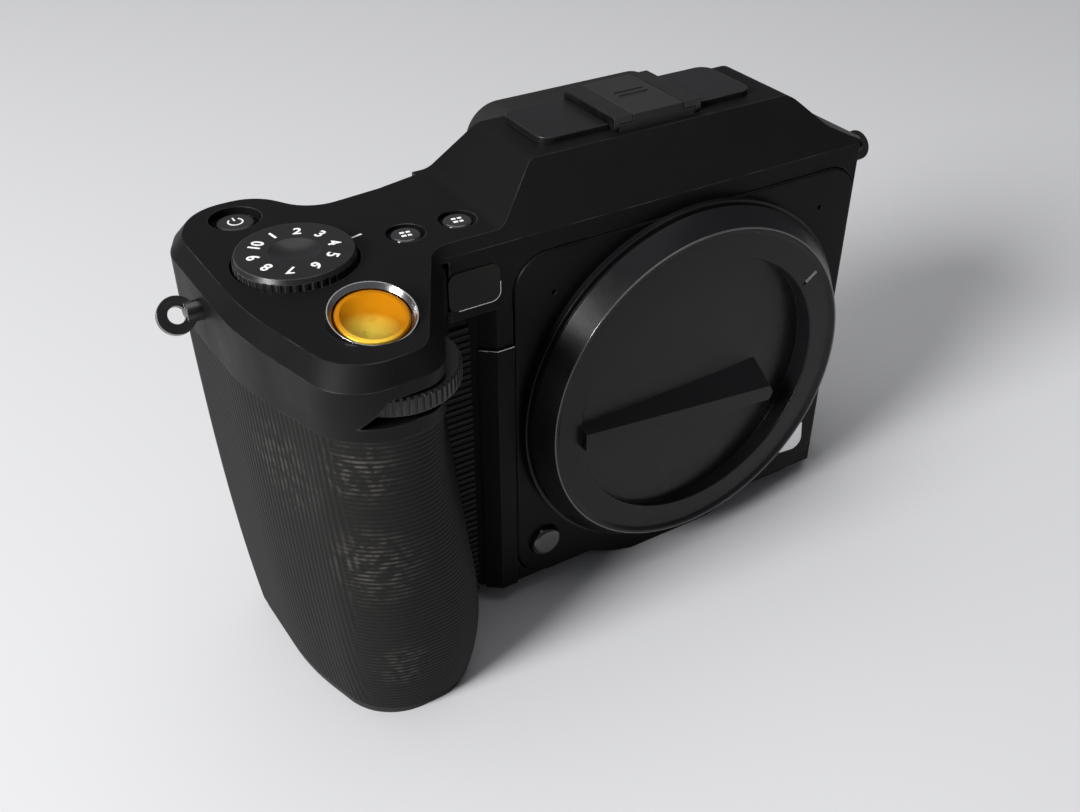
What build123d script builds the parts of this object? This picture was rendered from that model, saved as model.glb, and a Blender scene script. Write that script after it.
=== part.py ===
"""A mirrorless medium format digital camera with a body cap on its lens mount.

All lengths are in millimetres. X runs to the viewer's right as the camera is seen from the front, Y runs
to the back and Z runs up. The origin is the mouth of the tripod socket, straight below the optical axis.
"""

import os
from math import atan, copysign, cos, radians, sin, sqrt

from build123d import *

os.makedirs("parts", exist_ok=True)

# Driving sizes of the whole body
axis_height = 46.0
face_reach = 15.5
plate_reach = 16.0
back_reach = 17.0
rear_face = 15.7
parting_reach = 12.0
skin_rear_reach = 10.5
right_reach = 54.0
left_reach = 96.3
root_reach = 50.0
base_height = 4.5
band_height = 76.0
chamfer_height = 88.0
shoulder_height = 89.4
deck_height = 91.1
hump_rise = 7.3
hump_setback = 3.7
nose_reach = 45.4
thumb_reach = 25.5
deck_root = 44.0
wall = 1.8
deck_wall = 2.5
front_wall = 3.6
side_wall = 2.6
grip_wall = 2.0
base_wall = 1.8
corner_cut = 10.6
trim_right = 42.0
trim_edge = 45.4
trim_left = 48.4
trim_back = 13.1
trim_top = 66.8
trim_thickness = 0.6

# Clearances
slip = 0.15
seat_gap = 0.3
running_gap = 0.06
overrun = 3.0

# Optical axis and front plate
axis_plane = Plane(origin=(0, 0, axis_height), x_dir=(1, 0, 0), z_dir=(0, -1, 0))
chin_radius = 47.3
plate_left = 41.8
plate_right = 43.0
plate_top = 85.4
plate_thickness = 2.6
plate_corner = 7.6
plate_foot = 9.0
plate_gap = 0.2
plate_edge = 0.5
microphone_places = ((-33.1, 76.3), (33.8, 77.0))
microphone_radius = 0.6
stop_down_place = (-35.0, 14.1)
stop_down_radius = 3.7
stop_down_proud = 1.5
release_shares = (
    ((1.100, -0.805), 0.03), ((1.180, -0.840), 0.03), ((1.205, -1.085), 0.09), ((0.950, -1.060), 0.03),
    ((0.980, -0.965), 0.03), ((1.052, -0.918), 0.05),
)
release_proud = 0.9
base_screw_radius = 1.0
base_screw_head = 1.8
base_screw_head_height = 1.2
base_screw_sunk = 1.5
base_screw_across = 11.5
base_screw_along = 7.5
socket_radius = 3.175
socket_depth = 5.5
socket_wall_radius = 5.0
socket_flange_radius = 7.0
socket_flange = 1.2
lever_place = (-44.5, 4.0)
lever_pin_radius = 1.2
lever_length = 12.0
lever_width = 5.0
lever_thickness = 1.3

# Lens mount and body cap
throat_radius = 29.5
flange_radius = 36.5
flange_thickness = 1.2
spigot_radius = 32.5
throat_gap = 1.5
screw_start = 30.0
lens_pin_radius = 1.4
lens_pin_turn = -50.0
lens_pin_proud = 1.2
mount_lug_height = 1.9
mount_lug_setback = 1.3
lug_start = 45.0
mount_lug_thickness = 1.2
lug_sweep = 44.0
lug_count = 4
mount_screw_circle = 34.4
mount_screw_radius = 0.9
mount_screw_count = 6
cap_base_radius = 40.85
cap_rim_radius = 37.05
cap_height = 7.2
cap_base_gap = 0.6
cap_skin = 1.5
cap_seat = 0.15
cap_lip = 1.5
cap_groove = 0.9
cap_groove_depth = 1.2
cap_edge = 0.7
cap_plug_radius = 27.3
cap_plug_wall = 2.0
cap_tab_radius = 29.2
cap_tab_gap = 0.25
cap_tab_thickness = 1.25
cap_tab_sweep = 38.0
cap_mark_turn = 34.5
cap_mark_width = 0.8
cap_mark_length = 3.2
cap_mark_depth = 0.25
cap_recess_radius = 30.2
cap_annulus_drop = 0.6
cap_floor_shallow = 0.5
cap_floor_deep = 4.2
bar_bow = 1.9
bar_front_shares = ((-1.005, -0.123), (0.610, -0.285), (0.640, -0.225), (0.605, -0.162), (-1.005, 0.013))
bar_base_shares = ((-1.005, -0.140), (0.640, -0.305), (0.728, -0.232), (0.563, 0.033), (-1.005, 0.125))
contact_inner = 24.5
contact_thickness = 1.0
contact_sweep = 70.0
box_half_width = 26.0
box_half_height = 31.0
box_corner = 4.0
box_plate = 1.5
box_opening_width = 47.0
box_opening_height = 36.0
box_wall = 1.5

# Grip outlines: across from the deck's root to the left wall, along as a share of the nose (ahead)
# or of the thumb rest (behind), and the corner's radius as a share of the width
deck_shares = (
    (0.000, 0.627, 0.00),
    (0.210, 0.533, 0.19),
    (0.488, 0.478, 0.17),
    (0.621, 0.898, 0.17),
    (0.870, 0.898, 0.19),
    (0.956, 0.510, 0.19),
    (0.937, -0.370, 1.20),
    (0.809, -0.939, 0.19),
    (0.535, -0.917, 0.10),
)
foot_shares = (
    (0.000, 0.667, 0.00),
    (0.220, 0.635, 0.19),
    (0.512, 0.588, 0.17),
    (0.646, 1.000, 0.17),
    (0.899, 1.000, 0.19),
    (1.000, 0.549, 0.19),
    (0.981, -0.391, 1.20),
    (0.847, -1.000, 0.19),
    (0.509, -0.978, 0.115),
)
band_shares = (
    (0.000, 0.667, 0.00),
    (0.220, 0.635, 0.19),
    (0.512, 0.588, 0.17),
    (0.646, 1.000, 0.17),
    (0.899, 1.000, 0.19),
    (1.000, 0.549, 0.19),
    (0.975, -0.348, 1.15),
    (0.813, -0.948, 0.268),
    (0.497, -0.935, 0.155),
)
recess_corner_share = 0.25
recess_round_share = 0.11

# Lower grip outlines at shares of the band's height: left rear, left front, nose left, nose right and
# recess corner, as shares of the grip's width and of the nose's reach, each with its round
grip_levels = (
    (1.00, ((1.000, 0.14), (0.972, -0.348, 1.30), (0.788, -0.948, 0.31), (0.432, -0.935, 0.17),
            (0.151, -0.261, 0.07))),
    (0.55, ((0.975, 0.14), (0.946, -0.315, 1.30), (0.778, -0.880, 0.31), (0.335, -0.865, 0.24),
            (0.090, -0.261, 0.05))),
    (0.22, ((0.935, 0.14), (0.912, -0.285, 1.25), (0.756, -0.815, 0.31), (0.245, -0.805, 0.27),
            (0.060, -0.261, 0.05))),
    (0.00, ((0.895, 0.14), (0.872, -0.261, 1.20), (0.725, -0.735, 0.28), (0.300, -0.725, 0.20),
            (0.110, -0.261, 0.05))),
)
skin_thickness = 1.2
root_margin = 3.0
skin_start = 2.5
recess_reach = 12.0

# Battery
battery_inset = 4.5
battery_height = 63.0
battery_base = 2.3
battery_gap = 0.3

# Battery lever, contact block and chamber
battery_rear = 8.5
battery_right = 54.0
battery_round = 2.0
contact_rise = 6.0

# Grip strips and thumb rest
strip_left = 56.5
strip_thickness = 0.6
strip_pitch = 1.5
strip_top = 72.0
rib_depth = 0.4
thumb_foot = 42.0
thumb_foot_share = 0.08
thumb_round = 4.0
thumb_shares = ((-0.742, 0), (-0.806, 0.965), (-0.912, 0.965), (-0.952, 0))

# Deck controls
dial_place = (-79.3, -5.0)
dial_radius = 10.8
dial_height = 6.8
dial_proud = 1.9
dial_dish_radius = 4.55
dial_dish_depth = 0.9
dial_knurls = 44
dial_knurl_radius = 0.5
dial_bevel = 0.9
post_foot_radius = 3.6
dial_lift = 4.0
dial_well_gap = 0.5
dial_floor = 1.2
post_radius = 2.0
shutter_place = (-76.3, -30.4)
shutter_lift = 0.8
shutter_radius = 6.3
shutter_tilt = 15.0
shutter_thickness = 1.9
shutter_proud = 0.2
shutter_edge = 0.5
shutter_dish = 0.7
shutter_stem_radius = 1.5
collar_radius = 7.4
collar_depth = 3.4
collar_skin = 0.9
collar_rise = 0.9
collar_lip = 0.65
power_place = (-82.9, 15.7)
power_recess = 4.9
power_radius = 3.6
power_sunk = 0.7
small_places = ((-58.5, -5.8), (-47.9, -5.7))
small_recess = 3.65
small_radius = 2.9
small_sunk = 0.2
button_flange = 0.8
button_flange_height = 0.9
power_depth = 1.8
small_depth = 1.0
board_gap = 0.8
board_thickness = 1.0
dome_height = 0.6
dome_radius = 2.0
button_edge = 0.6
board_margin = 4.2
board_front = 32.5
standoff_radius = 1.5
standoff_places = ((-49.0, 4.0), (-63.5, -14.0), (-63.5, 8.0))

# Scroll wheels
front_wheel_place = (-74.5, -32.3)
front_wheel_radius = 11.5
rear_wheel_place = (-83.5, 16.4)
rear_wheel_radius = 9.8
wheel_thickness = 3.8
wheel_floor = 80.4
wheel_pin_radius = 1.4
wheel_slot_depth = 2.0
wheel_slot_gap = 1.1
wheel_knurls = 60
wheel_knurl_depth = 0.35
wheel_knurl_width = 0.55
wheel_bevel = 0.5
wheel_shoulder_radius = 2.6

# Hump, accessory shoe and finder
hump_left = 31.0
root_overlap = 2.0
foot_round = 5.0
top_round = 4.0
side_round = 3.0
hump_left_foot = 42.5
hump_right = 32.6
hump_right_knee = 37.6
side_height = 85.0
knee_height = 92.9
shoe_plate_half = 26.0
shoe_plate_front = 0.2
shoe_plate_rise = 1.2
shoe_plate_corner = 3.0
shoe_half = 10.6
shoe_front = 1.7
shoe_rise = 2.9
shoe_lip = 1.4
shoe_channel_half = 9.35
shoe_gap_half = 6.3
shoe_slot_height = 2.1
finder_centre = -3.0
eyecup_half = 25.4
eyecup_drop = 0.8
eyecup_bottom = 73.5
eyecup_corner = 8.0
eyecup_depth = 13.0
finder_half_width = 12.0
finder_half_height = 7.5
finder_height = 86.5
finder_front = 1.0

finder_corner = 2.0
finder_back = 18.4
finder_wall = 1.0
lens_thickness = 3.0
eyecup_wall = 3.2
eyecup_taper = 2.0
eyecup_round = 1.4
shoe_depth = 1.8
shoe_length = 18.6
shoe_screw_radius = 0.9
shoe_screw_head = 1.6
shoe_screw_pitch = 5.0
shoe_screw_head_height = 0.6
shoe_edge = 0.4
shoe_plate_back = 16.6
cover_ridge_pitch = 0.9
cover_ridge_half = 3.5
cover_ridge_reach = 6.5
cover_ridge_width = 0.5
cover_ridge_rise = 0.3

# AF lamp window and rear face buttons
window_left = 55.4
window_right = 44.5
window_base = 78.0
window_top = 86.0
window_depth = 0.8
window_corner = 2.0
rear_places = ((-62.0, 80.6), (-54.0, 80.6))
rear_button_radius = 3.0
rear_button_proud = 0.8
rear_flange = 0.6

# Strap lugs
lug_drop = 7.1
right_lug_drop = 11.1
lug_setback = -0.5
lug_eye_radius = 3.4
lug_hole_radius = 1.6
lug_thickness = 1.8
lug_reach = 3.9
lug_stem_radius = 1.9
lug_head_radius = 3.2
lug_head = 1.0
lug_tilt = 37.0
lug_wall_setback = 0.6

# Right side doors
door_width = 12.6
door_height = 29.0
door_thickness = 1.5
door_pivot_reach = 1.7
knuckle_radius = 1.1
hinge_pin_radius = 0.55
card_door_base = 44.5
door_ledge = 1.2
pin_reach = 1.5
port_door_base = 11.0
door_corner = 1.5
socket_inner = 33.0
socket_gap = 0.1
socket_base = 0.3
socket_back = 9.6
socket_margin = 1.6
card_slot = 2.4
card_slot_pitch = 4.0
port_shares = (0.24, 0.50, 0.70, 0.84)
port_length = 9.2
port_width = 3.4
port_depth = 7.0
jack_radius = 1.8

# Rear display and buttons
display_left = 42.0
display_right = 36.0
display_low = 13.0
display_high = 70.0
display_corner = 2.0
display_glass_thickness = 1.0
display_sunk = 0.1
display_border = 3.0
display_depth = 2.8
rear_wall = 1.8
pocket_low = 8.0
pocket_high = 73.0
rear_column = -46.2
rear_column_heights = (20.0, 31.0, 42.0, 53.0, 64.0)
rear_key_width = 5.0
rear_key_height = 8.0
rear_key_proud = 0.6
rear_key_flange = 0.9
rear_key_lip = 0.7
button_board_reach = 12.1
button_board_thickness = 0.8

# Sensor and boards
flange_to_sensor = 18.2
sensor_width = 43.8
sensor_height = 32.9
sensor_package = 1.6
sensor_margin = 4.0
glass_thickness = 0.8
board_left = 45.0
board_right = 30.0
board_low = 9.0
board_high = 73.0
board_spacer = 2.0
main_board_thickness = 1.5
chip_height = 1.2
chip_width = 16.0
chip_shares = ((-0.55, -0.35), (-0.55, 0.20), (0.05, -0.25), (0.05, 0.30))
frame_half = 32.0
frame_height = 54.0
frame_thickness = 1.5
post_width = 2.0
post_spread = 29.0
post_rise = 24.0

# Places that follow from the driving sizes
sensor_face = flange_to_sensor - plate_reach - flange_thickness
frame_reach = sensor_face + sensor_package
front_wall_back = face_reach - front_wall
post_places = [
    (across, axis_height + up) for across in (-post_spread, post_spread) for up in (-post_rise, post_rise)
]
pivot_place = (right_reach - knuckle_radius, -door_pivot_reach)
door_back = door_width - door_pivot_reach
lens_pin_place = (
    mount_screw_circle * cos(radians(lens_pin_turn)),
    axis_height + mount_screw_circle * sin(radians(lens_pin_turn)),
)
board_face = frame_reach + frame_thickness + board_spacer
socket_middle = (socket_base + socket_back) / 2
rear_face_inner = rear_face - grip_wall
shutter_axis = Axis((0, 0, 0), (0, -sin(radians(shutter_tilt)), cos(radians(shutter_tilt))))
base_screw_places = [(across, along) for across in (-base_screw_across, base_screw_across)
                     for along in (-base_screw_along, base_screw_along)]
hump_height = deck_height + hump_rise
eyecup_top = hump_height - eyecup_drop
lug_height = deck_height - lug_drop
right_lug_height = deck_height - right_lug_drop
slant = (hump_height - shoulder_height) / (face_reach - hump_setback)
slant_angle = atan(slant)
deck_underside = deck_height - deck_wall
flange_face = plate_reach + flange_thickness
cap_face = plate_reach + cap_height - cap_annulus_drop
plug_back = flange_face - mount_lug_setback - mount_lug_thickness - cap_tab_gap - cap_tab_thickness


def slanted_y(height):
    """Y of the slanted front plane at a height."""
    return -face_reach + (height - shoulder_height) / slant


def deck_outline(height, shares, inset=0):
    """Outline of the top cover's grip end at one height."""
    span = left_reach - deck_root
    points = []
    rounds = []
    for across, along, corner in shares:
        reach = thumb_reach if along > 0 else nose_reach
        points.append((-deck_root - across * span, along * reach))
        rounds.append(corner * span)
    front = slanted_y(min(deck_height, max(height, chamfer_height)))
    points.append((-deck_root - recess_corner_share * span, front))
    rounds.append(recess_round_share * span)
    points.append((-deck_root, front))
    rounds.append(0)
    with BuildSketch(Plane.XY.offset(height)) as sketch:
        with BuildLine():
            FilletPolyline(*points, radius=rounds, close=True)
        make_face()
        if inset > 0:
            offset(amount=-inset, kind=Kind.INTERSECTION)
    return sketch.sketch


def grip_outline(level, inset=0):
    """Outline of the lower grip at one level, open into the casing at its root."""
    share, corners = level
    span = left_reach - root_reach
    inner_root = -root_reach + root_margin
    rear_corner = corners[0]
    points = [(inner_root, back_reach), (-root_reach - rear_corner[0] * span, back_reach)]
    rounds = [0, rear_corner[1] * span]
    for across, along, corner in corners[1:]:
        points.append((-root_reach - across * span, along * nose_reach))
        rounds.append(corner * span)
    points.append((inner_root, points[-1][1]))
    rounds.append(0)
    with BuildSketch(Plane.XY.offset(share * band_height)) as sketch:
        with BuildLine():
            FilletPolyline(*points, radius=rounds, close=True)
        make_face()
        if inset > 0:
            offset(amount=-inset, kind=Kind.INTERSECTION)
    return sketch.sketch


def save(part, label):
    """Labels a finished piece and writes its file."""
    part.label = label
    export_step(part, f"parts/{label}.step")


def grip_solid(inset=0):
    """Lower grip from the base to the band, cut off where it meets the casing."""
    with BuildPart() as grip:
        loft([grip_outline(level, inset).face() for level in reversed(grip_levels)])
        split(bisect_by=Plane.YZ.offset(-root_reach), keep=Keep.BOTTOM)
    return grip.part


def casing_plan(height, left, front, back, inset=0):
    """Plan of the body casing with its cut front right corner."""
    right = right_reach - inset
    corner_line = right_reach + face_reach - corner_cut - inset * sqrt(2)
    with BuildSketch(Plane.XY.offset(height)) as sketch:
        with BuildLine():
            Polyline((left, back), (left, front), (corner_line + front, front),
                     (right, right - corner_line), (right, back), close=True)
        make_face()
    return sketch.sketch


def hump_solid(front, back, inset=0):
    """Deck, shoulders and hump over the body casing, under the slanted front plane."""
    floor = band_height - (inset + overrun if inset else 0)
    with BuildPart() as hump:
        with BuildSketch(Plane.XZ.offset(-front)):
            with BuildLine():
                FilletPolyline(
                    (-deck_root - root_overlap, floor),
                    (-deck_root - root_overlap, deck_height),
                    (-hump_left_foot, deck_height),
                    (-hump_left, hump_height),
                    (hump_right, hump_height),
                    (hump_right_knee, knee_height),
                    (right_reach, side_height),
                    (right_reach, floor),
                    radius=(0, 0, foot_round, top_round, top_round, foot_round, side_round, 0),
                    close=True,
                )
            make_face()
            if inset > 0:
                offset(amount=-inset, kind=Kind.INTERSECTION)
        extrude(amount=front - back)
        plan = casing_plan(floor, -deck_root - root_overlap, front, back, inset)
        extrude(plan, amount=hump_height, mode=Mode.INTERSECT)
        slope_normal = (0, -sin(slant_angle), cos(slant_angle))
        slope_point = (0, -face_reach, shoulder_height - inset / cos(slant_angle))
        split(bisect_by=Plane(origin=slope_point, z_dir=slope_normal), keep=Keep.BOTTOM)
    return hump.part


def axis_ring(inner, outer, front, depth):
    """Ring about the optical axis from a front reach, running back by a depth."""
    with BuildPart() as ring:
        with BuildSketch(axis_plane.offset(front - depth)):
            Circle(outer)
            if inner > 0:
                Circle(inner, mode=Mode.SUBTRACT)
        extrude(amount=depth)
    return ring.part


def plate_outline(reach, grow=0):
    """Outline of the front plate with the round chin under the mount."""
    left = -plate_left - grow
    top = plate_top + grow
    right = plate_right + grow
    with BuildSketch(Plane.XZ.offset(reach)) as sketch:
        with BuildLine():
            FilletPolyline((left, base_height - grow), (left, top), (right, top), (right, base_height - grow),
                           radius=(plate_foot, plate_corner, plate_corner, plate_foot), close=True)
        make_face()
        add(chin_outline(grow))
    return sketch.sketch


def chin_outline(grow=0):
    """Foot of the round chin between the base of the casing and the ground."""
    with BuildSketch(Plane.XZ) as sketch:
        with Locations((0, axis_height)):
            Circle(chin_radius + grow)
        with Locations((0, base_height / 2)):
            Rectangle(2 * chin_radius, base_height, mode=Mode.INTERSECT)
    return sketch.sketch


def release_outline(reach, grow=0):
    """Outline of the lens release, following the plate's lower right corner, in shares of the spigot."""
    points = [(across * spigot_radius, axis_height + up * spigot_radius) for (across, up), _ in release_shares]
    rounds = [corner * spigot_radius for _, corner in release_shares]
    with BuildSketch(Plane.XZ.offset(reach)) as sketch:
        with BuildLine():
            FilletPolyline(*points, radius=rounds, close=True)
        make_face()
        if grow > 0:
            offset(amount=grow, kind=Kind.INTERSECTION)
    return sketch.sketch


def grip_foot(inset):
    """Plan of the grip's foot, cut off at its root."""
    with BuildSketch() as sketch:
        add(grip_outline(grip_levels[-1], inset))
        with Locations((-root_reach - inset - left_reach, 0)):
            Rectangle(2 * left_reach, 2 * left_reach, mode=Mode.INTERSECT)
    return sketch.sketch


def board_outline():
    """Outline of the control board, round the dial's well and short of the shutter."""
    with BuildSketch(Plane.XY.offset(board_base)) as sketch:
        add(deck_outline(board_base, band_shares, board_margin))
        with Locations((-left_reach, -board_front + left_reach)):
            Rectangle(2 * left_reach, 2 * left_reach, mode=Mode.INTERSECT)
        with Locations((-deck_root - board_gap - left_reach, 0)):
            Rectangle(2 * left_reach, 2 * left_reach, mode=Mode.INTERSECT)
        with Locations(dial_place):
            Circle(dial_well_radius + wall + seat_gap, mode=Mode.SUBTRACT)
    return sketch.sketch


def finder_block(inset, front, back):
    """Block along the finder's axis, moved in from its opening by an inset."""
    half_width = finder_half_width - inset
    half_height = finder_half_height - inset
    return rear_block((finder_centre - half_width, front, finder_height - half_height),
                      (finder_centre + half_width, back, finder_height + half_height), finder_corner - inset)


def sensor_slab(inset, front, back):
    """Slab round the sensor's picture area, moved in from it by an inset."""
    return rear_block((inset - sensor_width / 2, front, axis_height + inset - sensor_height / 2),
                      (sensor_width / 2 - inset, back, axis_height - inset + sensor_height / 2), slip)


def socket_body(low):
    """Housing behind one of the doors."""
    return block((socket_inner, socket_base, low + socket_margin),
                 (right_reach - side_wall - socket_gap, socket_back, low + door_height - socket_margin))


def battery_plan(height, clearance=0):
    """Plan of the battery pack, moved in from the grip's foot and cut off short of the rear cover."""
    with BuildSketch(Plane.XY.offset(height)) as sketch:
        add(grip_outline(grip_levels[-1], battery_inset - clearance))
        with Locations((clearance - battery_right - left_reach, 0)):
            Rectangle(2 * left_reach, 2 * (battery_rear + clearance), mode=Mode.INTERSECT)
        fillet(sketch.vertices().group_by(Axis.X)[-1], battery_round)
    return sketch.sketch


def sector_ring(inner, outer, front, depth, sweep, count, start=0):
    """Arcs of a ring about the optical axis, evenly spaced."""
    with BuildPart() as ring:
        with BuildSketch(axis_plane.offset(front - depth)):
            Circle(outer)
            Circle(inner, mode=Mode.SUBTRACT)
            half = radians(sweep / 2)
            reach = outer / cos(half) + overrun
            with BuildSketch(mode=Mode.PRIVATE) as wedge:
                with PolarLocations(0, count, start):
                    Polygon((0, 0), (reach * cos(half), -reach * sin(half)), (reach * cos(half), reach * sin(half)),
                            align=None)
            add(wedge.sketch, mode=Mode.INTERSECT)
        extrude(amount=depth)
    return ring.part


def deck_solid():
    """Grip end of the top cover: an upright band, then a slanted edge up to the deck."""
    with BuildPart() as deck:
        levels = ((band_height, band_shares), (chamfer_height, foot_shares), (deck_height, deck_shares))
        for low, high in zip(levels, levels[1:]):
            loft([deck_outline(*low).face(), deck_outline(*high).face()], ruled=True)
    return deck.part


def casing_outline(height, back):
    """Plan of the main casing, with the step down into the finger recess at its left."""
    corner_line = right_reach + face_reach - corner_cut
    with BuildSketch(Plane.XY.offset(height)) as sketch:
        with BuildLine():
            Polyline(
                (-root_reach, back),
                (-root_reach, -recess_reach),
                (-trim_left, -trim_back),
                (-trim_edge, -face_reach),
                (corner_line - face_reach, -face_reach),
                (right_reach, right_reach - corner_line),
                (right_reach, back),
                close=True,
            )
        make_face()
    return sketch.sketch


def round_post(place, radius, low, high):
    """Upright cylinder between two heights."""
    with BuildPart() as post:
        with BuildSketch(Plane.XY.offset(low)):
            with Locations(place):
                Circle(radius)
        extrude(amount=high - low)
    return post.part


def rear_post(place, radius, front, back):
    """Cylinder along Y at a place given across and up."""
    with BuildPart() as post:
        with BuildSketch(Plane.XZ.offset(-back)):
            with Locations(place):
                Circle(radius)
        extrude(amount=back - front)
    return post.part


def block(low, high, rounding=0):
    """Rectangular space between two corners, rounded along Z if asked."""
    with BuildPart() as space:
        with BuildSketch(Plane.XY.offset(low[2])):
            with Locations(((low[0] + high[0]) / 2, (low[1] + high[1]) / 2)):
                if rounding > 0:
                    RectangleRounded(high[0] - low[0], high[1] - low[1], rounding)
                else:
                    Rectangle(high[0] - low[0], high[1] - low[1])
        extrude(amount=high[2] - low[2])
    return space.part


def rear_block(low, high, rounding):
    """Rectangular space between two corners, rounded along Y."""
    with BuildPart() as space:
        with BuildSketch(Plane.XZ.offset(-high[1])):
            with Locations(((low[0] + high[0]) / 2, (low[2] + high[2]) / 2)):
                RectangleRounded(high[0] - low[0], high[2] - low[2], rounding)
        extrude(amount=high[1] - low[1])
    return space.part


# Top cover
shutter_plane = Plane(
    origin=(shutter_place[0], shutter_place[1], deck_height + shutter_lift),
    x_dir=(1, 0, 0),
    z_dir=(0, -sin(radians(shutter_tilt)), cos(radians(shutter_tilt))),
)
dial_well_radius = dial_radius + dial_well_gap
dial_base = deck_height + dial_proud - dial_height
dial_well_floor = dial_base - seat_gap
wheel_top = wheel_floor + wheel_thickness
board_base = wheel_top + board_gap
board_top = board_base + board_thickness
shoe_base = hump_height - shoe_depth
shoe_back = shoe_length - shoe_front
shoe_screw_places = [
    (across, along)
    for across in (-shoe_screw_pitch, shoe_screw_pitch)
    for along in (shoe_screw_pitch - shoe_front, shoe_back - shoe_screw_pitch)
]

with BuildPart() as top_cover:
    add(deck_solid())
    add(block((-deck_root - recess_corner_share * (left_reach - deck_root), -nose_reach, band_height),
              (0, -face_reach, deck_height)), mode=Mode.SUBTRACT)
    add(hump_solid(-face_reach, back_reach))
    with BuildSketch(Plane.XY.offset(band_height)):
        add(deck_outline(band_height, band_shares, grip_wall))
    extrude(amount=deck_underside - band_height, mode=Mode.SUBTRACT)
    add(hump_solid(-face_reach + front_wall, back_reach - deck_wall, deck_wall), mode=Mode.SUBTRACT)
    # Pocket for the front plate
    with BuildSketch(Plane.XZ.offset(face_reach)):
        add(plate_outline(face_reach, plate_gap))
    extrude(amount=plate_reach - plate_thickness - face_reach, mode=Mode.SUBTRACT)
    # Passage between the two hollows
    add(block((-deck_root - 2 * root_overlap, -face_reach + front_wall, band_height),
              (root_overlap - deck_root, rear_face_inner, deck_underside)), mode=Mode.SUBTRACT)
    # Well of the mode dial
    add(round_post(dial_place, dial_well_radius + wall, dial_well_floor - dial_floor, deck_underside))
    add(round_post(dial_place, dial_well_radius, dial_well_floor, deck_height), mode=Mode.SUBTRACT)
    add(round_post(dial_place, post_radius + running_gap, dial_well_floor - dial_floor, deck_height),
        mode=Mode.SUBTRACT)
    # Recesses and bores of the deck buttons
    for place, recess, radius, depth in (
        (power_place, power_recess, power_radius, power_depth),
        (small_places[0], small_recess, small_radius, small_depth),
        (small_places[1], small_recess, small_radius, small_depth),
    ):
        add(round_post(place, recess, deck_height - depth, deck_height), mode=Mode.SUBTRACT)
        add(round_post(place, radius + slip, deck_underside, deck_height), mode=Mode.SUBTRACT)
    # Bore of the shutter collar
    with BuildSketch(shutter_plane.offset(-collar_depth - overrun)):
        Circle(collar_radius)
    extrude(amount=collar_depth + 2 * overrun, mode=Mode.SUBTRACT)
    # Bores of the two buttons on the rear face
    for place in rear_places:
        add(rear_post(place, rear_button_radius + slip, 0, thumb_reach), mode=Mode.SUBTRACT)
    # Window, finder opening and accessory shoe pocket
    add(rear_block((-window_left, -face_reach - overrun, window_base),
                   (-window_right, window_depth - face_reach, window_top), window_corner), mode=Mode.SUBTRACT)
    add(rear_block((finder_centre - finder_half_width, 0, finder_height - finder_half_height),
                   (finder_centre + finder_half_width, back_reach + overrun, finder_height + finder_half_height),
                   finder_corner), mode=Mode.SUBTRACT)
    add(block((-shoe_half - slip, -shoe_front - slip, shoe_base),
              (shoe_half + slip, shoe_back + slip, hump_height + overrun)), mode=Mode.SUBTRACT)
    for place in shoe_screw_places:
        add(round_post(place, shoe_screw_radius + slip, shoe_base - deck_wall, shoe_base), mode=Mode.SUBTRACT)
    # Bores of the strap lugs
    for reach, height in ((-left_reach, lug_height), (right_reach, right_lug_height)):
        with BuildSketch(Plane.YZ.offset(reach - copysign((grip_wall + seat_gap + lug_head), reach))):
            with Locations((lug_setback, height)):
                Circle(lug_stem_radius + running_gap)
        extrude(amount=2 * (grip_wall + seat_gap + lug_head), both=True, mode=Mode.SUBTRACT)
    # Slots of the two scroll wheels
    for place, radius in ((front_wheel_place, front_wheel_radius), (rear_wheel_place, rear_wheel_radius)):
        add(round_post(place, radius + wheel_slot_depth, wheel_floor - wheel_slot_gap, wheel_top + wheel_slot_gap),
            mode=Mode.SUBTRACT)

save(top_cover.part, "top_cover")

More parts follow.
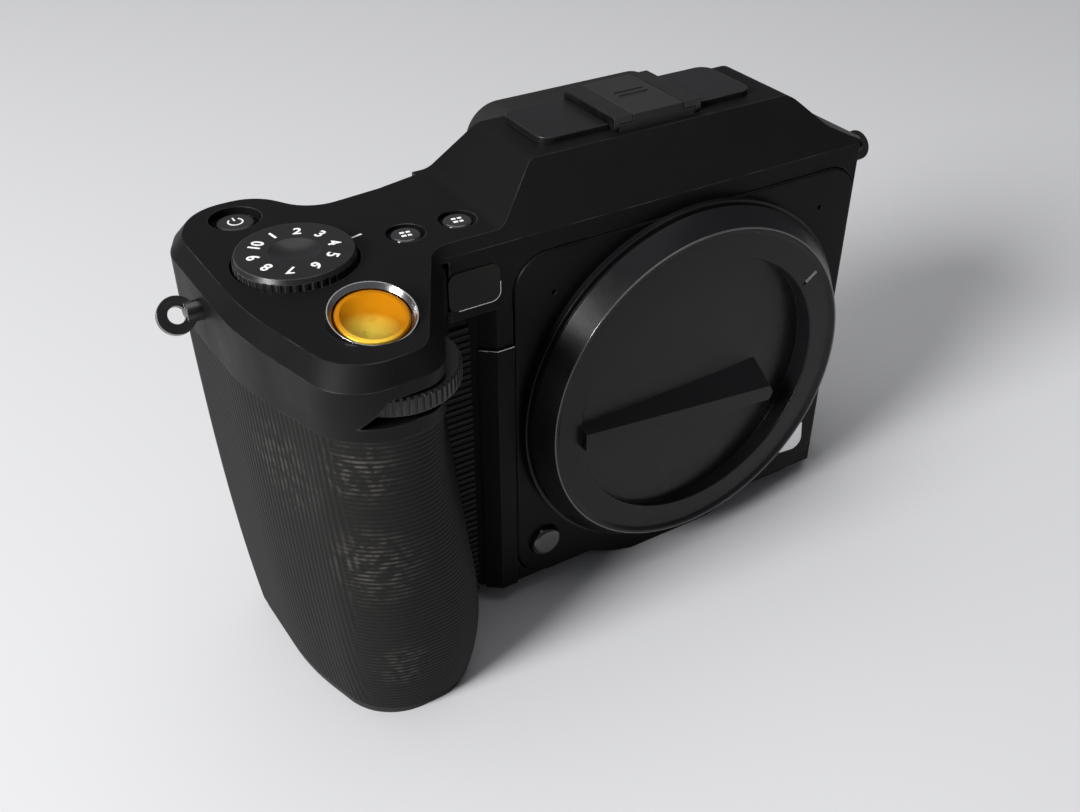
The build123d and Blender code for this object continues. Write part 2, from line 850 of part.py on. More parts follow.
# Main casing
inner_face = plate_reach - plate_thickness
throat_clear = spigot_radius + throat_gap
with BuildPart() as main_casing:
    extrude(casing_outline(base_height, parting_reach), amount=band_height - base_height)
    with BuildSketch(Plane.XY.offset(base_height + base_wall)):
        add(casing_plan(base_height + base_wall, -root_reach + wall, -face_reach + front_wall,
                        parting_reach, side_wall))
    extrude(amount=band_height, mode=Mode.SUBTRACT)
    with BuildSketch(Plane.XZ.offset(face_reach)):
        add(plate_outline(face_reach, plate_gap))
    extrude(amount=inner_face - face_reach, mode=Mode.SUBTRACT)
    add(axis_ring(0, throat_clear, face_reach, front_wall), mode=Mode.SUBTRACT)
    # Posts that carry the sensor frame
    for across, up in post_places:
        add(rear_post((across, up), post_width, -face_reach + front_wall, frame_reach))
    # Door pockets, their windows and pivots
    for low in (card_door_base, port_door_base):
        top = low + door_height
        hinge_front = -door_pivot_reach - knuckle_radius - slip
        add(block((right_reach - door_thickness - slip, hinge_front, low - slip),
                  (right_reach + overrun, door_back + slip, top + slip)), mode=Mode.SUBTRACT)
        add(block((right_reach - side_wall - overrun, door_ledge, low + door_ledge),
                  (right_reach, door_back - door_ledge, top - door_ledge)), mode=Mode.SUBTRACT)
        add(round_post(pivot_place, knuckle_radius + slip, low - slip, top + slip), mode=Mode.SUBTRACT)
        add(round_post(pivot_place, hinge_pin_radius + slip / 2, low - pin_reach, top + pin_reach),
            mode=Mode.SUBTRACT)
    # Bores of the front buttons, the tripod base screws and the battery lever
    for place, radius in ((stop_down_place, stop_down_radius), (lens_pin_place, lens_pin_radius)):
        add(rear_post(place, radius + slip, -face_reach, parting_reach), mode=Mode.SUBTRACT)
    extrude(release_outline(face_reach, slip), amount=-front_wall, mode=Mode.SUBTRACT)
    for place in base_screw_places:
        add(round_post(place, base_screw_radius, base_height, base_height + base_wall), mode=Mode.SUBTRACT)
    add(round_post(lever_place, lever_pin_radius + running_gap, base_height, base_height + base_wall),
        mode=Mode.SUBTRACT)
    add(round_post((0, 0), socket_flange_radius + slip, base_height, base_height + base_wall), mode=Mode.SUBTRACT)
save(main_casing.part, "main_casing")

# Front plate with the round chin
with BuildPart() as front_plate:
    extrude(plate_outline(inner_face), amount=plate_thickness)
    add(axis_ring(0, spigot_radius + slip, plate_reach, plate_thickness), mode=Mode.SUBTRACT)
    fillet(front_plate.faces().sort_by(Axis.Y)[0].outer_wire().edges(), plate_edge)
    for place, radius in ((stop_down_place, stop_down_radius), (lens_pin_place, lens_pin_radius)):
        add(rear_post(place, radius + slip, -plate_reach, -inner_face), mode=Mode.SUBTRACT)
    extrude(release_outline(plate_reach, slip), amount=-plate_thickness, mode=Mode.SUBTRACT)
    for place in microphone_places:
        add(rear_post(place, microphone_radius, -plate_reach, -inner_face), mode=Mode.SUBTRACT)
    with BuildSketch(axis_plane.offset(plate_reach)):
        with PolarLocations(mount_screw_circle, mount_screw_count, screw_start):
            Circle(mount_screw_radius)
    extrude(amount=-plate_thickness, mode=Mode.SUBTRACT)
save(front_plate.part, "front_plate")

# Silver edge strip between the front plate and the finger recess
with BuildPart() as front_trim:
    with BuildSketch(Plane.XY.offset(base_height)):
        with BuildLine():
            Polyline(
                (-trim_left, -trim_back),
                (-trim_edge, -face_reach),
                (-trim_right, -face_reach),
                (-trim_right, -face_reach - trim_thickness),
                (-trim_edge - trim_thickness / 2, -face_reach - trim_thickness),
                (-trim_left - trim_thickness / 2, -trim_back - trim_thickness),
                close=True,
            )
        make_face()
    extrude(amount=trim_top - base_height)
save(front_trim.part, "front_trim")

# Ribbed strip at the back of the finger recess
with BuildPart() as recess_strip:
    add(block((-strip_left, -recess_reach - strip_thickness, skin_start),
              (-root_reach, -recess_reach, strip_top)))
    rib_count = int((strip_top - skin_start) / strip_pitch) - 1
    rib_plane = Plane.XZ.offset(recess_reach + strip_thickness)
    with BuildSketch(rib_plane):
        with Locations((-(strip_left + root_reach) / 2, (strip_top + skin_start) / 2)):
            with GridLocations(0, strip_pitch, 1, rib_count):
                Rectangle(strip_left - root_reach, strip_pitch / 2)
    extrude(amount=rib_depth)
    add(grip_solid(), mode=Mode.SUBTRACT)
save(recess_strip.part, "recess_strip")

# Grip core with the battery chamber
grip_front_plane = Plane.XZ.offset(-skin_rear_reach)
chamber_top = battery_height + contact_rise
with BuildPart() as grip_core:
    add(grip_solid(skin_thickness))
    split(bisect_by=grip_front_plane, keep=Keep.TOP)
    split(bisect_by=Plane.XY.offset(skin_start), keep=Keep.TOP)
    extrude(battery_plan(0, battery_gap), amount=chamber_top, mode=Mode.SUBTRACT)
save(grip_core.part, "grip_core")

# Rubber skin of the grip
with BuildPart() as grip_rubber:
    add(grip_solid())
    add(grip_solid(skin_thickness), mode=Mode.SUBTRACT)
    split(bisect_by=grip_front_plane, keep=Keep.TOP)
    split(bisect_by=Plane.XY.offset(skin_start), keep=Keep.TOP)
save(grip_rubber.part, "grip_rubber")

# Rear cover
display_face = back_reach - display_sunk
pocket_back = back_reach - rear_wall
with BuildPart() as rear_cover:
    add(grip_solid())
    split(bisect_by=grip_front_plane, keep=Keep.BOTTOM)
    split(bisect_by=Plane.XY.offset(skin_start), keep=Keep.TOP)
    add(block((-root_reach, parting_reach, base_height), (right_reach, back_reach, band_height)))
    add(rear_block((-root_reach, parting_reach, pocket_low),
                   (right_reach - side_wall, pocket_back, pocket_high), display_corner), mode=Mode.SUBTRACT)
    add(rear_block((-display_left, display_face - display_glass_thickness, display_low),
                   (display_right, back_reach + overrun, display_high), display_corner), mode=Mode.SUBTRACT)
    add(rear_block((-display_left + display_border, 0, display_low + display_border),
                   (display_right - display_border, back_reach, display_high - display_border), display_corner),
        mode=Mode.SUBTRACT)
    for height in rear_column_heights:
        add(rear_block((rear_column - rear_key_width / 2 - slip, 0, height - rear_key_height / 2 - slip),
                       (rear_column + rear_key_width / 2 + slip, back_reach + overrun,
                        height + rear_key_height / 2 + slip), rear_key_width / 2), mode=Mode.SUBTRACT)
save(rear_cover.part, "rear_cover")

# Thumb rest under the rear wheel
with BuildPart() as thumb_rest:
    sections = []
    for height, swell_share in ((thumb_foot, thumb_foot_share), (band_height - seat_gap, 1)):
        points = [
            (across * left_reach, back_reach + (thumb_reach - back_reach) * out * swell_share)
            for across, out in thumb_shares
        ]
        with BuildSketch(Plane.XY.offset(height)) as section:
            with BuildLine():
                FilletPolyline(*points, radius=(0, thumb_round, thumb_round, 0), close=True)
            make_face()
        sections.append(section.sketch.face())
    loft(sections)
save(thumb_rest.part, "thumb_rest")

# Display glass, display module, rear keys and their board
with BuildPart() as display_glass:
    add(rear_block((-display_left + slip, display_face - display_glass_thickness, display_low + slip),
                   (display_right - slip, display_face, display_high - slip), display_corner))
save(display_glass.part, "display_glass")

with BuildPart() as display_module:
    add(rear_block((-display_left + seat_gap, pocket_back - display_depth, display_low),
                   (display_right, pocket_back, display_high), display_corner))
save(display_module.part, "display_module")

with BuildPart() as button_board:
    add(rear_block((-root_reach + seat_gap, button_board_reach, rear_column_heights[0] - rear_key_height),
                   (-display_left - seat_gap, button_board_reach + button_board_thickness,
                    rear_column_heights[-1] + rear_key_height), slip))
save(button_board.part, "button_board")

for number, height in enumerate(rear_column_heights, start=1):
    with BuildPart() as rear_key:
        add(rear_block((rear_column - rear_key_width / 2, pocket_back - rear_key_flange, height - rear_key_height / 2),
                       (rear_column + rear_key_width / 2, back_reach + rear_key_proud,
                        height + rear_key_height / 2), rear_key_width / 2 - slip))
        add(rear_block((rear_column - rear_key_width / 2 - rear_key_lip, pocket_back - rear_key_flange - slip,
                        height - rear_key_height / 2 - rear_key_lip),
                       (rear_column + rear_key_width / 2 + rear_key_lip, pocket_back - slip,
                        height + rear_key_height / 2 + rear_key_lip), rear_key_width / 2))
    save(rear_key.part, f"rear_key_{number}")

# Battery with its foot plate, and the contact block over it
with BuildPart() as battery:
    extrude(grip_foot(battery_gap), amount=battery_base)
    extrude(battery_plan(0), amount=battery_height)
    fillet(battery.faces().sort_by(Axis.Z)[-1].outer_wire().edges(), plate_edge)
save(battery.part, "battery")

with BuildPart() as battery_contacts:
    extrude(battery_plan(battery_height + seat_gap, -plate_edge), amount=chamber_top - battery_height - seat_gap)
save(battery_contacts.part, "battery_contacts")

# Battery lever under the casing
with BuildPart() as battery_lever:
    with BuildSketch(Plane.XY.offset(base_height - seat_gap - lever_thickness)):
        with Locations((lever_place[0], lever_place[1] - lever_length / 2)):
            SlotCenterToCenter(lever_length, lever_width, rotation=90)
    extrude(amount=lever_thickness)
    fillet(battery_lever.faces().sort_by(Axis.Z)[0].outer_wire().edges(), plate_edge)
    add(round_post(lever_place, lever_pin_radius, base_height - lever_thickness, base_height + base_wall))
save(battery_lever.part, "battery_lever")

# Tripod base, its screws and the threaded socket
with BuildPart() as tripod_base:
    with BuildSketch(Plane.XZ.offset(inner_face)):
        add(chin_outline())
    extrude(amount=-inner_face - parting_reach)
    add(round_post((0, 0), socket_wall_radius + running_gap, 0, base_height), mode=Mode.SUBTRACT)
    for place in base_screw_places:
        add(round_post(place, base_screw_radius, 0, base_height), mode=Mode.SUBTRACT)
        add(round_post(place, base_screw_head + slip, 0, base_screw_sunk + base_screw_head_height),
            mode=Mode.SUBTRACT)
save(tripod_base.part, "tripod_base")

with BuildPart() as tripod_socket:
    add(round_post((0, 0), socket_wall_radius, 0, base_height + base_wall))
    add(round_post((0, 0), socket_flange_radius, base_height, base_height + socket_flange))
    add(round_post((0, 0), socket_radius, 0, socket_depth), mode=Mode.SUBTRACT)
save(tripod_socket.part, "tripod_socket")

with BuildPart() as base_screws:
    for place in base_screw_places:
        add(round_post(place, base_screw_head, base_screw_sunk, base_screw_sunk + base_screw_head_height))
        add(round_post(place, base_screw_radius, base_screw_sunk, base_height + base_wall))
        with BuildSketch(Plane.XY.offset(base_screw_sunk)):
            with Locations(place):
                RegularPolygon(base_screw_radius, 6)
        extrude(amount=base_screw_head_height / 2, mode=Mode.SUBTRACT)
save(base_screws.part, "base_screws")

# Lens mount ring, the contact block and the lock pin
with BuildPart() as mount_ring:
    add(axis_ring(throat_radius, flange_radius, flange_face, flange_thickness))
    fillet(mount_ring.edges().filter_by(GeomType.CIRCLE).sort_by(Axis.Y)[0], plate_gap)
    add(axis_ring(throat_radius, spigot_radius, plate_reach, plate_thickness))
    add(sector_ring(throat_radius - mount_lug_height, throat_radius + slip, flange_face - mount_lug_setback,
                    mount_lug_thickness, lug_sweep, lug_count, lug_start))
    with BuildSketch(axis_plane.offset(flange_face)):
        with PolarLocations(mount_screw_circle, mount_screw_count, screw_start):
            Circle(mount_screw_radius)
        with PolarLocations(mount_screw_circle, 1, lens_pin_turn):
            Circle(lens_pin_radius + slip)
    extrude(amount=-flange_thickness, mode=Mode.SUBTRACT)
save(mount_ring.part, "mount_ring")

with BuildPart() as contact_block:
    add(sector_ring(contact_inner, throat_radius - slip, front_wall_back + contact_thickness, contact_thickness,
                    contact_sweep, 1, -90))
save(contact_block.part, "contact_block")

with BuildPart() as lens_lock_pin:
    add(rear_post(lens_pin_place, lens_pin_radius, -flange_face - lens_pin_proud, -front_wall_back))
    fillet(lens_lock_pin.edges().sort_by(Axis.Y)[0], plate_edge)
save(lens_lock_pin.part, "lens_lock_pin")

# Lens release and stop down button
with BuildPart() as lens_release:
    extrude(release_outline(front_wall_back), amount=plate_reach + release_proud - front_wall_back)
    fillet(lens_release.faces().sort_by(Axis.Y)[0].outer_wire().edges(), plate_edge)
save(lens_release.part, "lens_release")

with BuildPart() as stop_down_button:
    add(rear_post(stop_down_place, stop_down_radius, -plate_reach - stop_down_proud, -front_wall_back))
    fillet(stop_down_button.edges().filter_by(GeomType.CIRCLE).sort_by(Axis.Y)[0], stop_down_proud - plate_gap)
save(stop_down_button.part, "stop_down_button")

# Body cap
cap_inner = flange_face + cap_seat
cap_skirt = cap_base_gap + plate_reach
cap_rim = plate_reach + cap_height
cap_plane = Plane(origin=(0, 0, axis_height), x_dir=(1, 0, 0), z_dir=(0, 0, 1))
with BuildPart() as body_cap:
    with BuildSketch(cap_plane):
        with BuildLine():
            Polyline(
                (0, -cap_inner),
                (flange_radius + cap_skin, -cap_inner),
                (flange_radius + cap_skin, -cap_skirt),
                (cap_base_radius, -cap_skirt),
                (cap_base_radius, -cap_skirt - cap_lip),
                (cap_base_radius - cap_groove_depth, -cap_skirt - cap_lip),
                (cap_base_radius - cap_groove_depth, -cap_skirt - cap_lip - cap_groove),
                (cap_base_radius - cap_edge, -cap_skirt - cap_lip - cap_groove),
                (cap_rim_radius, -cap_rim),
                (cap_rim_radius - cap_edge, -cap_rim),
                (cap_rim_radius - 2 * cap_edge, -cap_face),
                (0, -cap_face),
                close=True,
            )
        make_face()
    revolve(axis=Axis((0, 0, axis_height), (0, 1, 0)))
    # Hollow behind the annulus
    add(axis_ring(cap_recess_radius + cap_skin, flange_radius - cap_edge, cap_face - cap_skin,
                  cap_face - cap_skin - cap_inner), mode=Mode.SUBTRACT)
    # Recess with a floor that leans back towards the right
    with BuildPart(mode=Mode.PRIVATE) as recess:
        add(axis_ring(0, cap_recess_radius, cap_face, cap_floor_deep))
        lean = atan((cap_floor_deep - cap_floor_shallow) / (2 * cap_recess_radius))
        floor_point = (-cap_recess_radius, cap_floor_shallow - cap_face, axis_height)
        floor_plane = Plane(origin=floor_point, z_dir=(-sin(lean), cos(lean), 0))
        split(bisect_by=floor_plane, keep=Keep.BOTTOM)
    add(recess.part, mode=Mode.SUBTRACT)
    fillet(body_cap.edges().filter_by(GeomType.CIRCLE).filter_by(
        lambda edge: abs(edge.radius - cap_recess_radius) < plate_gap).sort_by(Axis.Y)[0], plate_gap)
    # Wedge shaped bar to turn the cap by
    with BuildPart(mode=Mode.PRIVATE) as bar:
        bar_faces = []
        for reach, shares in ((cap_face - cap_floor_deep, bar_base_shares), (cap_face + bar_bow, bar_front_shares)):
            with BuildSketch(axis_plane.offset(reach)) as face:
                with BuildLine():
                    Polyline(*[(across * cap_recess_radius, up * cap_recess_radius) for across, up in shares],
                             close=True)
                make_face()
            bar_faces.append(face.sketch.face())
        loft(bar_faces, ruled=True)
        tip = bar_front_shares[2][0] * cap_recess_radius
        with BuildSketch(Plane.XY):
            with BuildLine():
                ThreePointArc((-cap_recess_radius, -cap_face), (tip / 2 - cap_recess_radius / 2, -cap_face - bar_bow),
                              (tip, -cap_face))
                Polyline((tip, -cap_face), (tip + overrun, -cap_inner), (-cap_recess_radius - overrun, -cap_inner),
                         (-cap_recess_radius, -cap_face))
            make_face()
        extrude(amount=2 * axis_height, mode=Mode.INTERSECT)
    add(bar.part)
    # Plug with the bayonet tabs
    add(axis_ring(cap_plug_radius - cap_plug_wall, cap_plug_radius, cap_inner, cap_inner - plug_back))
    add(sector_ring(cap_plug_radius - slip, cap_tab_radius, plug_back + cap_tab_thickness, cap_tab_thickness,
                    cap_tab_sweep, lug_count, lug_start))
    # Mark on the annulus
    with BuildSketch(axis_plane.offset(cap_face)):
        with PolarLocations((cap_recess_radius + cap_rim_radius) / 2 - cap_mark_width, 1, cap_mark_turn):
            Rectangle(cap_mark_length, cap_mark_width)
    extrude(amount=-cap_mark_depth, mode=Mode.SUBTRACT)
save(body_cap.part, "body_cap")

# Mode dial with its knurls and thumb dish, and the carriage that it turns and rises on
with BuildPart() as mode_dial:
    add(round_post(dial_place, dial_radius, dial_base, dial_base + dial_height))
    chamfer(mode_dial.edges().filter_by(GeomType.CIRCLE).sort_by(Axis.Z)[-1], dial_bevel, dial_bevel / 2)
    with BuildSketch(Plane.XY.offset(dial_base)):
        with Locations(dial_place):
            with PolarLocations(dial_radius + dial_knurl_radius / 2, dial_knurls):
                Circle(dial_knurl_radius)
    extrude(amount=dial_height - dial_bevel, mode=Mode.SUBTRACT)
    dish_sphere = (dial_dish_radius ** 2 + dial_dish_depth ** 2) / (2 * dial_dish_depth)
    with Locations((dial_place[0], dial_place[1], dial_base + dial_height - dial_dish_depth + dish_sphere)):
        Sphere(dish_sphere, mode=Mode.SUBTRACT)
    add(round_post(dial_place, post_radius + running_gap, dial_base, dial_base + dial_height - 2 * dial_bevel),
        mode=Mode.SUBTRACT)
save(mode_dial.part, "mode_dial")

with BuildPart() as dial_carriage:
    foot_top = dial_well_floor - dial_floor - dial_lift - seat_gap
    add(round_post(dial_place, post_radius, foot_top, dial_base + dial_height - 2 * dial_bevel - running_gap))
    add(round_post(dial_place, post_foot_radius, foot_top - dial_floor, foot_top))
save(dial_carriage.part, "dial_carriage")

# Shutter button and its polished collar
with BuildPart() as shutter_collar:
    with BuildSketch(shutter_plane.offset(-collar_depth)):
        Circle(collar_radius - running_gap)
    extrude(amount=collar_depth + collar_rise)
    with BuildSketch(shutter_plane.offset(collar_skin - collar_depth)):
        Circle(collar_radius - collar_skin)
    extrude(amount=2 * collar_depth, mode=Mode.SUBTRACT)
    with BuildSketch(shutter_plane.offset(-collar_depth)):
        Circle(shutter_stem_radius + slip)
    extrude(amount=collar_depth, mode=Mode.SUBTRACT)
    collar_mouth = shutter_collar.edges().filter_by(GeomType.CIRCLE).sort_by(shutter_axis)[-2:]
    chamfer(collar_mouth.sort_by(SortBy.RADIUS)[0], collar_lip, 2 * collar_lip - collar_skin / 2)
save(shutter_collar.part, "shutter_collar")

with BuildPart() as shutter_button:
    with BuildSketch(shutter_plane.offset(shutter_proud - shutter_thickness)):
        Circle(shutter_radius)
    extrude(amount=shutter_thickness)
    button_rim = shutter_button.edges().filter_by(GeomType.CIRCLE).sort_by(shutter_axis)[-1]
    fillet(button_rim, shutter_edge)
    dish_radius = shutter_radius - 2 * shutter_edge
    dish_sphere = (dish_radius ** 2 + shutter_dish ** 2) / (2 * shutter_dish)
    with BuildPart(shutter_plane.offset(shutter_proud - shutter_dish + dish_sphere), mode=Mode.PRIVATE) as dish:
        Sphere(dish_sphere)
    add(dish.part, mode=Mode.SUBTRACT)
    with BuildSketch(shutter_plane.offset(-collar_depth)):
        Circle(shutter_stem_radius)
    extrude(amount=collar_depth + shutter_proud - shutter_thickness)
save(shutter_button.part, "shutter_button")

# Deck buttons with their retaining flanges
for label, place, radius, sunk in (
    ("power_button", power_place, power_radius, power_sunk),
    ("sensitivity_button", small_places[0], small_radius, small_sunk),
    ("focus_button", small_places[1], small_radius, small_sunk),
):
    with BuildPart() as deck_button:
        add(round_post(place, radius, deck_underside - seat_gap, deck_height - sunk))
        fillet(deck_button.edges().filter_by(GeomType.CIRCLE).sort_by(Axis.Z)[-1], button_edge)
        add(round_post(place, radius + button_flange, deck_underside - seat_gap - button_flange_height,
                       deck_underside - seat_gap))
    save(deck_button.part, label)

# Control board under the deck
with BuildPart() as control_board:
    extrude(board_outline(), amount=board_thickness)
    for place in (power_place, *small_places):
        add(round_post(place, dome_radius, board_top, board_top + dome_height))
    for place in standoff_places:
        add(round_post(place, standoff_radius, board_top, deck_underside))
save(control_board.part, "control_board")

# Buttons on the rear face beside the rear wheel
for label, place in zip(("exposure_lock_button", "focus_drive_button"), rear_places):
    with BuildPart() as rear_button:
        add(rear_post(place, rear_button_radius, rear_face_inner - seat_gap - rear_flange, rear_face + rear_button_proud))
        fillet(rear_button.edges().filter_by(GeomType.CIRCLE).sort_by(Axis.Y)[-1], button_edge)
        add(rear_post(place, rear_button_radius + rear_flange, rear_face_inner - seat_gap - rear_flange,
                      rear_face_inner - seat_gap))
    save(rear_button.part, label)

# Scroll wheels
for label, place, radius in (
    ("front_wheel", front_wheel_place, front_wheel_radius),
    ("rear_wheel", rear_wheel_place, rear_wheel_radius),
):
    with BuildPart() as wheel:
        add(round_post(place, radius, wheel_floor, wheel_top))
        chamfer(wheel.edges().filter_by(GeomType.CIRCLE), wheel_bevel)
        with BuildSketch(Plane.XY.offset(wheel_floor)):
            with Locations(place):
                with PolarLocations(radius, wheel_knurls):
                    Rectangle(2 * wheel_knurl_depth, wheel_knurl_width)
        extrude(amount=wheel_thickness, mode=Mode.SUBTRACT)
        add(round_post(place, wheel_pin_radius + running_gap, wheel_floor, wheel_top), mode=Mode.SUBTRACT)
    save(wheel.part, label)

# Dark window of the focusing lamp
with BuildPart() as lamp_window:
    add(rear_block((-window_left + running_gap, -face_reach - plate_gap, window_base + running_gap),
                   (-window_right - running_gap, window_depth - face_reach, window_top - running_gap),
                   window_corner - running_gap))
save(lamp_window.part, "lamp_window")

# Finder module, its eyepiece lens and the eyecup
with BuildPart() as finder_module:
    add(finder_block(slip, finder_front, finder_back))
    add(finder_block(finder_wall, finder_front + finder_wall, finder_back + overrun), mode=Mode.SUBTRACT)
save(finder_module.part, "finder_module")

with BuildPart() as finder_lens:
    add(finder_block(finder_wall + running_gap, back_reach - lens_thickness, back_reach))
save(finder_lens.part, "finder_lens")

with BuildPart() as eyecup:
    eyecup_plane = Plane.XZ.offset(-back_reach - eyecup_depth)
    eyecup_rise = eyecup_top - eyecup_bottom
    eyecup_middle = (finder_centre, (eyecup_top + eyecup_bottom) / 2)
    with BuildSketch(eyecup_plane):
        with Locations(eyecup_middle):
            RectangleRounded(2 * eyecup_half - eyecup_taper, eyecup_rise - eyecup_taper, eyecup_corner)
    with BuildSketch(Plane.XZ.offset(-back_reach)):
        with Locations(eyecup_middle):
            RectangleRounded(2 * eyecup_half, eyecup_rise, eyecup_corner)
    loft()
    fillet(eyecup.faces().sort_by(Axis.Y)[-1].outer_wire().edges(), eyecup_round)
    with BuildSketch(eyecup_plane):
        with Locations(eyecup_middle):
            RectangleRounded(2 * eyecup_half - eyecup_taper - 2 * eyecup_wall,
                             eyecup_rise - eyecup_taper - 2 * eyecup_wall, eyecup_corner - eyecup_wall)
    with BuildSketch(Plane.XZ.offset(-back_reach)):
        with Locations((finder_centre, finder_height)):
            RectangleRounded(2 * finder_half_width, 2 * finder_half_height, finder_corner)
    loft(mode=Mode.SUBTRACT)
save(eyecup.part, "eyecup")

# Accessory shoe, its side plates, its cover, and the small screws of the shoe and of the mount ring
with BuildPart() as shoe_side_plates:
    with BuildSketch(Plane.XY.offset(hump_height)):
        with Locations((0, (shoe_plate_front + shoe_plate_back) / 2)):
            RectangleRounded(2 * shoe_plate_half, shoe_plate_back - shoe_plate_front, shoe_plate_corner)
        with Locations((0, (shoe_back - shoe_front) / 2)):
            Rectangle(2 * (shoe_half + slip), shoe_length + 2 * slip, mode=Mode.SUBTRACT)
    extrude(amount=shoe_plate_rise)
    fillet(shoe_side_plates.faces().sort_by(Axis.Z)[-1].edges().filter_by(GeomType.CIRCLE), plate_gap)
save(shoe_side_plates.part, "shoe_side_plates")

shoe_top = hump_height + shoe_rise
shoe_channel_top = shoe_top - shoe_lip
shoe_channel_floor = shoe_channel_top - shoe_slot_height
with BuildPart() as hot_shoe:
    add(block((-shoe_half, -shoe_front, shoe_base), (shoe_half, shoe_back, shoe_top)))
    fillet(hot_shoe.edges().filter_by(Axis.Y).group_by(Axis.Z)[-1], shoe_edge)
    add(block((-shoe_channel_half, -shoe_front - overrun, shoe_channel_floor),
              (shoe_channel_half, shoe_back + overrun, shoe_channel_top)), mode=Mode.SUBTRACT)
    add(block((-shoe_gap_half, -shoe_front - overrun, shoe_channel_floor),
              (shoe_gap_half, shoe_back + overrun, shoe_top + overrun)), mode=Mode.SUBTRACT)
    for place in shoe_screw_places:
        add(round_post(place, shoe_screw_radius, shoe_base, shoe_channel_floor), mode=Mode.SUBTRACT)
        add(round_post(place, shoe_screw_head, shoe_channel_floor - shoe_screw_head_height, shoe_channel_floor),
            mode=Mode.SUBTRACT)
save(hot_shoe.part, "hot_shoe")

with BuildPart() as small_screws:
    with BuildSketch(axis_plane.offset(inner_face)):
        with PolarLocations(mount_screw_circle, mount_screw_count, screw_start):
            Circle(mount_screw_radius)
    extrude(amount=flange_face - inner_face)
    for place in shoe_screw_places:
        add(round_post(place, shoe_screw_radius, shoe_base - deck_wall + shoe_depth, shoe_channel_floor))
        add(round_post(place, shoe_screw_head, shoe_channel_floor - shoe_screw_head_height, shoe_channel_floor))
save(small_screws.part, "small_screws")

with BuildPart() as shoe_cover:
    add(block((-shoe_channel_half + slip, -shoe_front, shoe_channel_floor + slip),
              (shoe_channel_half - slip, shoe_back, shoe_channel_top - slip)))
    add(block((-shoe_gap_half + slip, -shoe_front, shoe_channel_floor + slip),
              (shoe_gap_half - slip, shoe_back, shoe_top)))
    for ridge in (-cover_ridge_pitch, cover_ridge_pitch):
        add(block((-cover_ridge_half, shoe_front + cover_ridge_reach + ridge, shoe_top),
                  (cover_ridge_half, shoe_front + cover_ridge_reach + ridge + cover_ridge_width,
                   shoe_top + cover_ridge_rise)))
save(shoe_cover.part, "shoe_cover")

# Doors over the card slots and the ports, and the pins that doors and wheels turn on
for label, low in (("card_door", card_door_base), ("port_door", port_door_base)):
    with BuildPart() as door:
        add(block((right_reach - door_thickness, -door_pivot_reach, low), (right_reach, door_back, low + door_height)))
        fillet(door.edges().filter_by(Axis.X).group_by(Axis.Y)[-1], door_corner)
        add(round_post(pivot_place, knuckle_radius, low, low + door_height))
        add(round_post(pivot_place, hinge_pin_radius + running_gap, low, low + door_height), mode=Mode.SUBTRACT)
    save(door.part, label)

with BuildPart() as axle_pins:
    for place in (front_wheel_place, rear_wheel_place):
        add(round_post(place, wheel_pin_radius, band_height, wheel_top))
        add(round_post(place, wheel_shoulder_radius, band_height, wheel_floor - running_gap))
    for low in (card_door_base, port_door_base):
        add(round_post(pivot_place, hinge_pin_radius, low - pin_reach, low + door_height + pin_reach))
save(axle_pins.part, "axle_pins")

with BuildPart() as card_sockets:
    add(socket_body(card_door_base))
    for slot in (-card_slot_pitch / 2, card_slot_pitch / 2):
        add(block((socket_inner + finder_wall, socket_middle + slot - card_slot / 2, card_door_base + 2 * door_ledge),
                  (right_reach, socket_middle + slot + card_slot / 2,
                   card_door_base + door_height - 2 * door_ledge)), mode=Mode.SUBTRACT)
save(card_sockets.part, "card_sockets")

with BuildPart() as port_block:
    add(socket_body(port_door_base))
    with BuildSketch(Plane.YZ.offset(right_reach - side_wall)):
        with Locations(*[(socket_middle, port_door_base + share * door_height) for share in port_shares[:2]]):
            SlotOverall(port_length, port_width, rotation=90)
        with Locations(*[(socket_middle, port_door_base + share * door_height) for share in port_shares[2:]]):
            Circle(jack_radius)
    extrude(amount=-port_depth, mode=Mode.SUBTRACT)
save(port_block.part, "port_block")

# Light box, sensor and boards
with BuildPart() as light_box:
    with BuildSketch(Plane.XZ.offset(front_wall_back)):
        with Locations((0, axis_height)):
            RectangleRounded(2 * box_half_width, 2 * box_half_height, box_corner)
    extrude(amount=-box_plate)
    for grow, mode in ((box_wall, Mode.ADD), (0, Mode.SUBTRACT)):
        walls = []
        for reach, width, height in (
            (front_wall_back, box_opening_width, box_opening_height),
            (-sensor_face + glass_thickness + slip, sensor_width + slip, sensor_height + slip),
        ):
            with BuildSketch(Plane.XZ.offset(reach)) as wall_outline:
                with Locations((0, axis_height)):
                    Rectangle(width + 2 * grow, height + 2 * grow)
            walls.append(wall_outline.sketch.face())
        loft(walls, ruled=True, mode=mode)
    add(rear_post(lens_pin_place, lens_pin_radius + slip, -front_wall_back, box_plate - front_wall_back),
        mode=Mode.SUBTRACT)
save(light_box.part, "light_box")

with BuildPart() as sensor_glass:
    add(sensor_slab(-sensor_margin / 2, sensor_face - glass_thickness, sensor_face))
save(sensor_glass.part, "sensor_glass")

with BuildPart() as image_sensor:
    add(sensor_slab(-sensor_margin, sensor_face, frame_reach))
save(image_sensor.part, "image_sensor")

with BuildPart() as sensor_frame:
    add(rear_block((-frame_half, frame_reach, axis_height - frame_height / 2),
                   (frame_half, frame_reach + frame_thickness, axis_height + frame_height / 2), box_corner))
    add(sensor_slab(sensor_margin, frame_reach, frame_reach + frame_thickness), mode=Mode.SUBTRACT)
    for place in post_places:
        add(rear_post(place, post_width, frame_reach + frame_thickness, board_face))
save(sensor_frame.part, "sensor_frame")

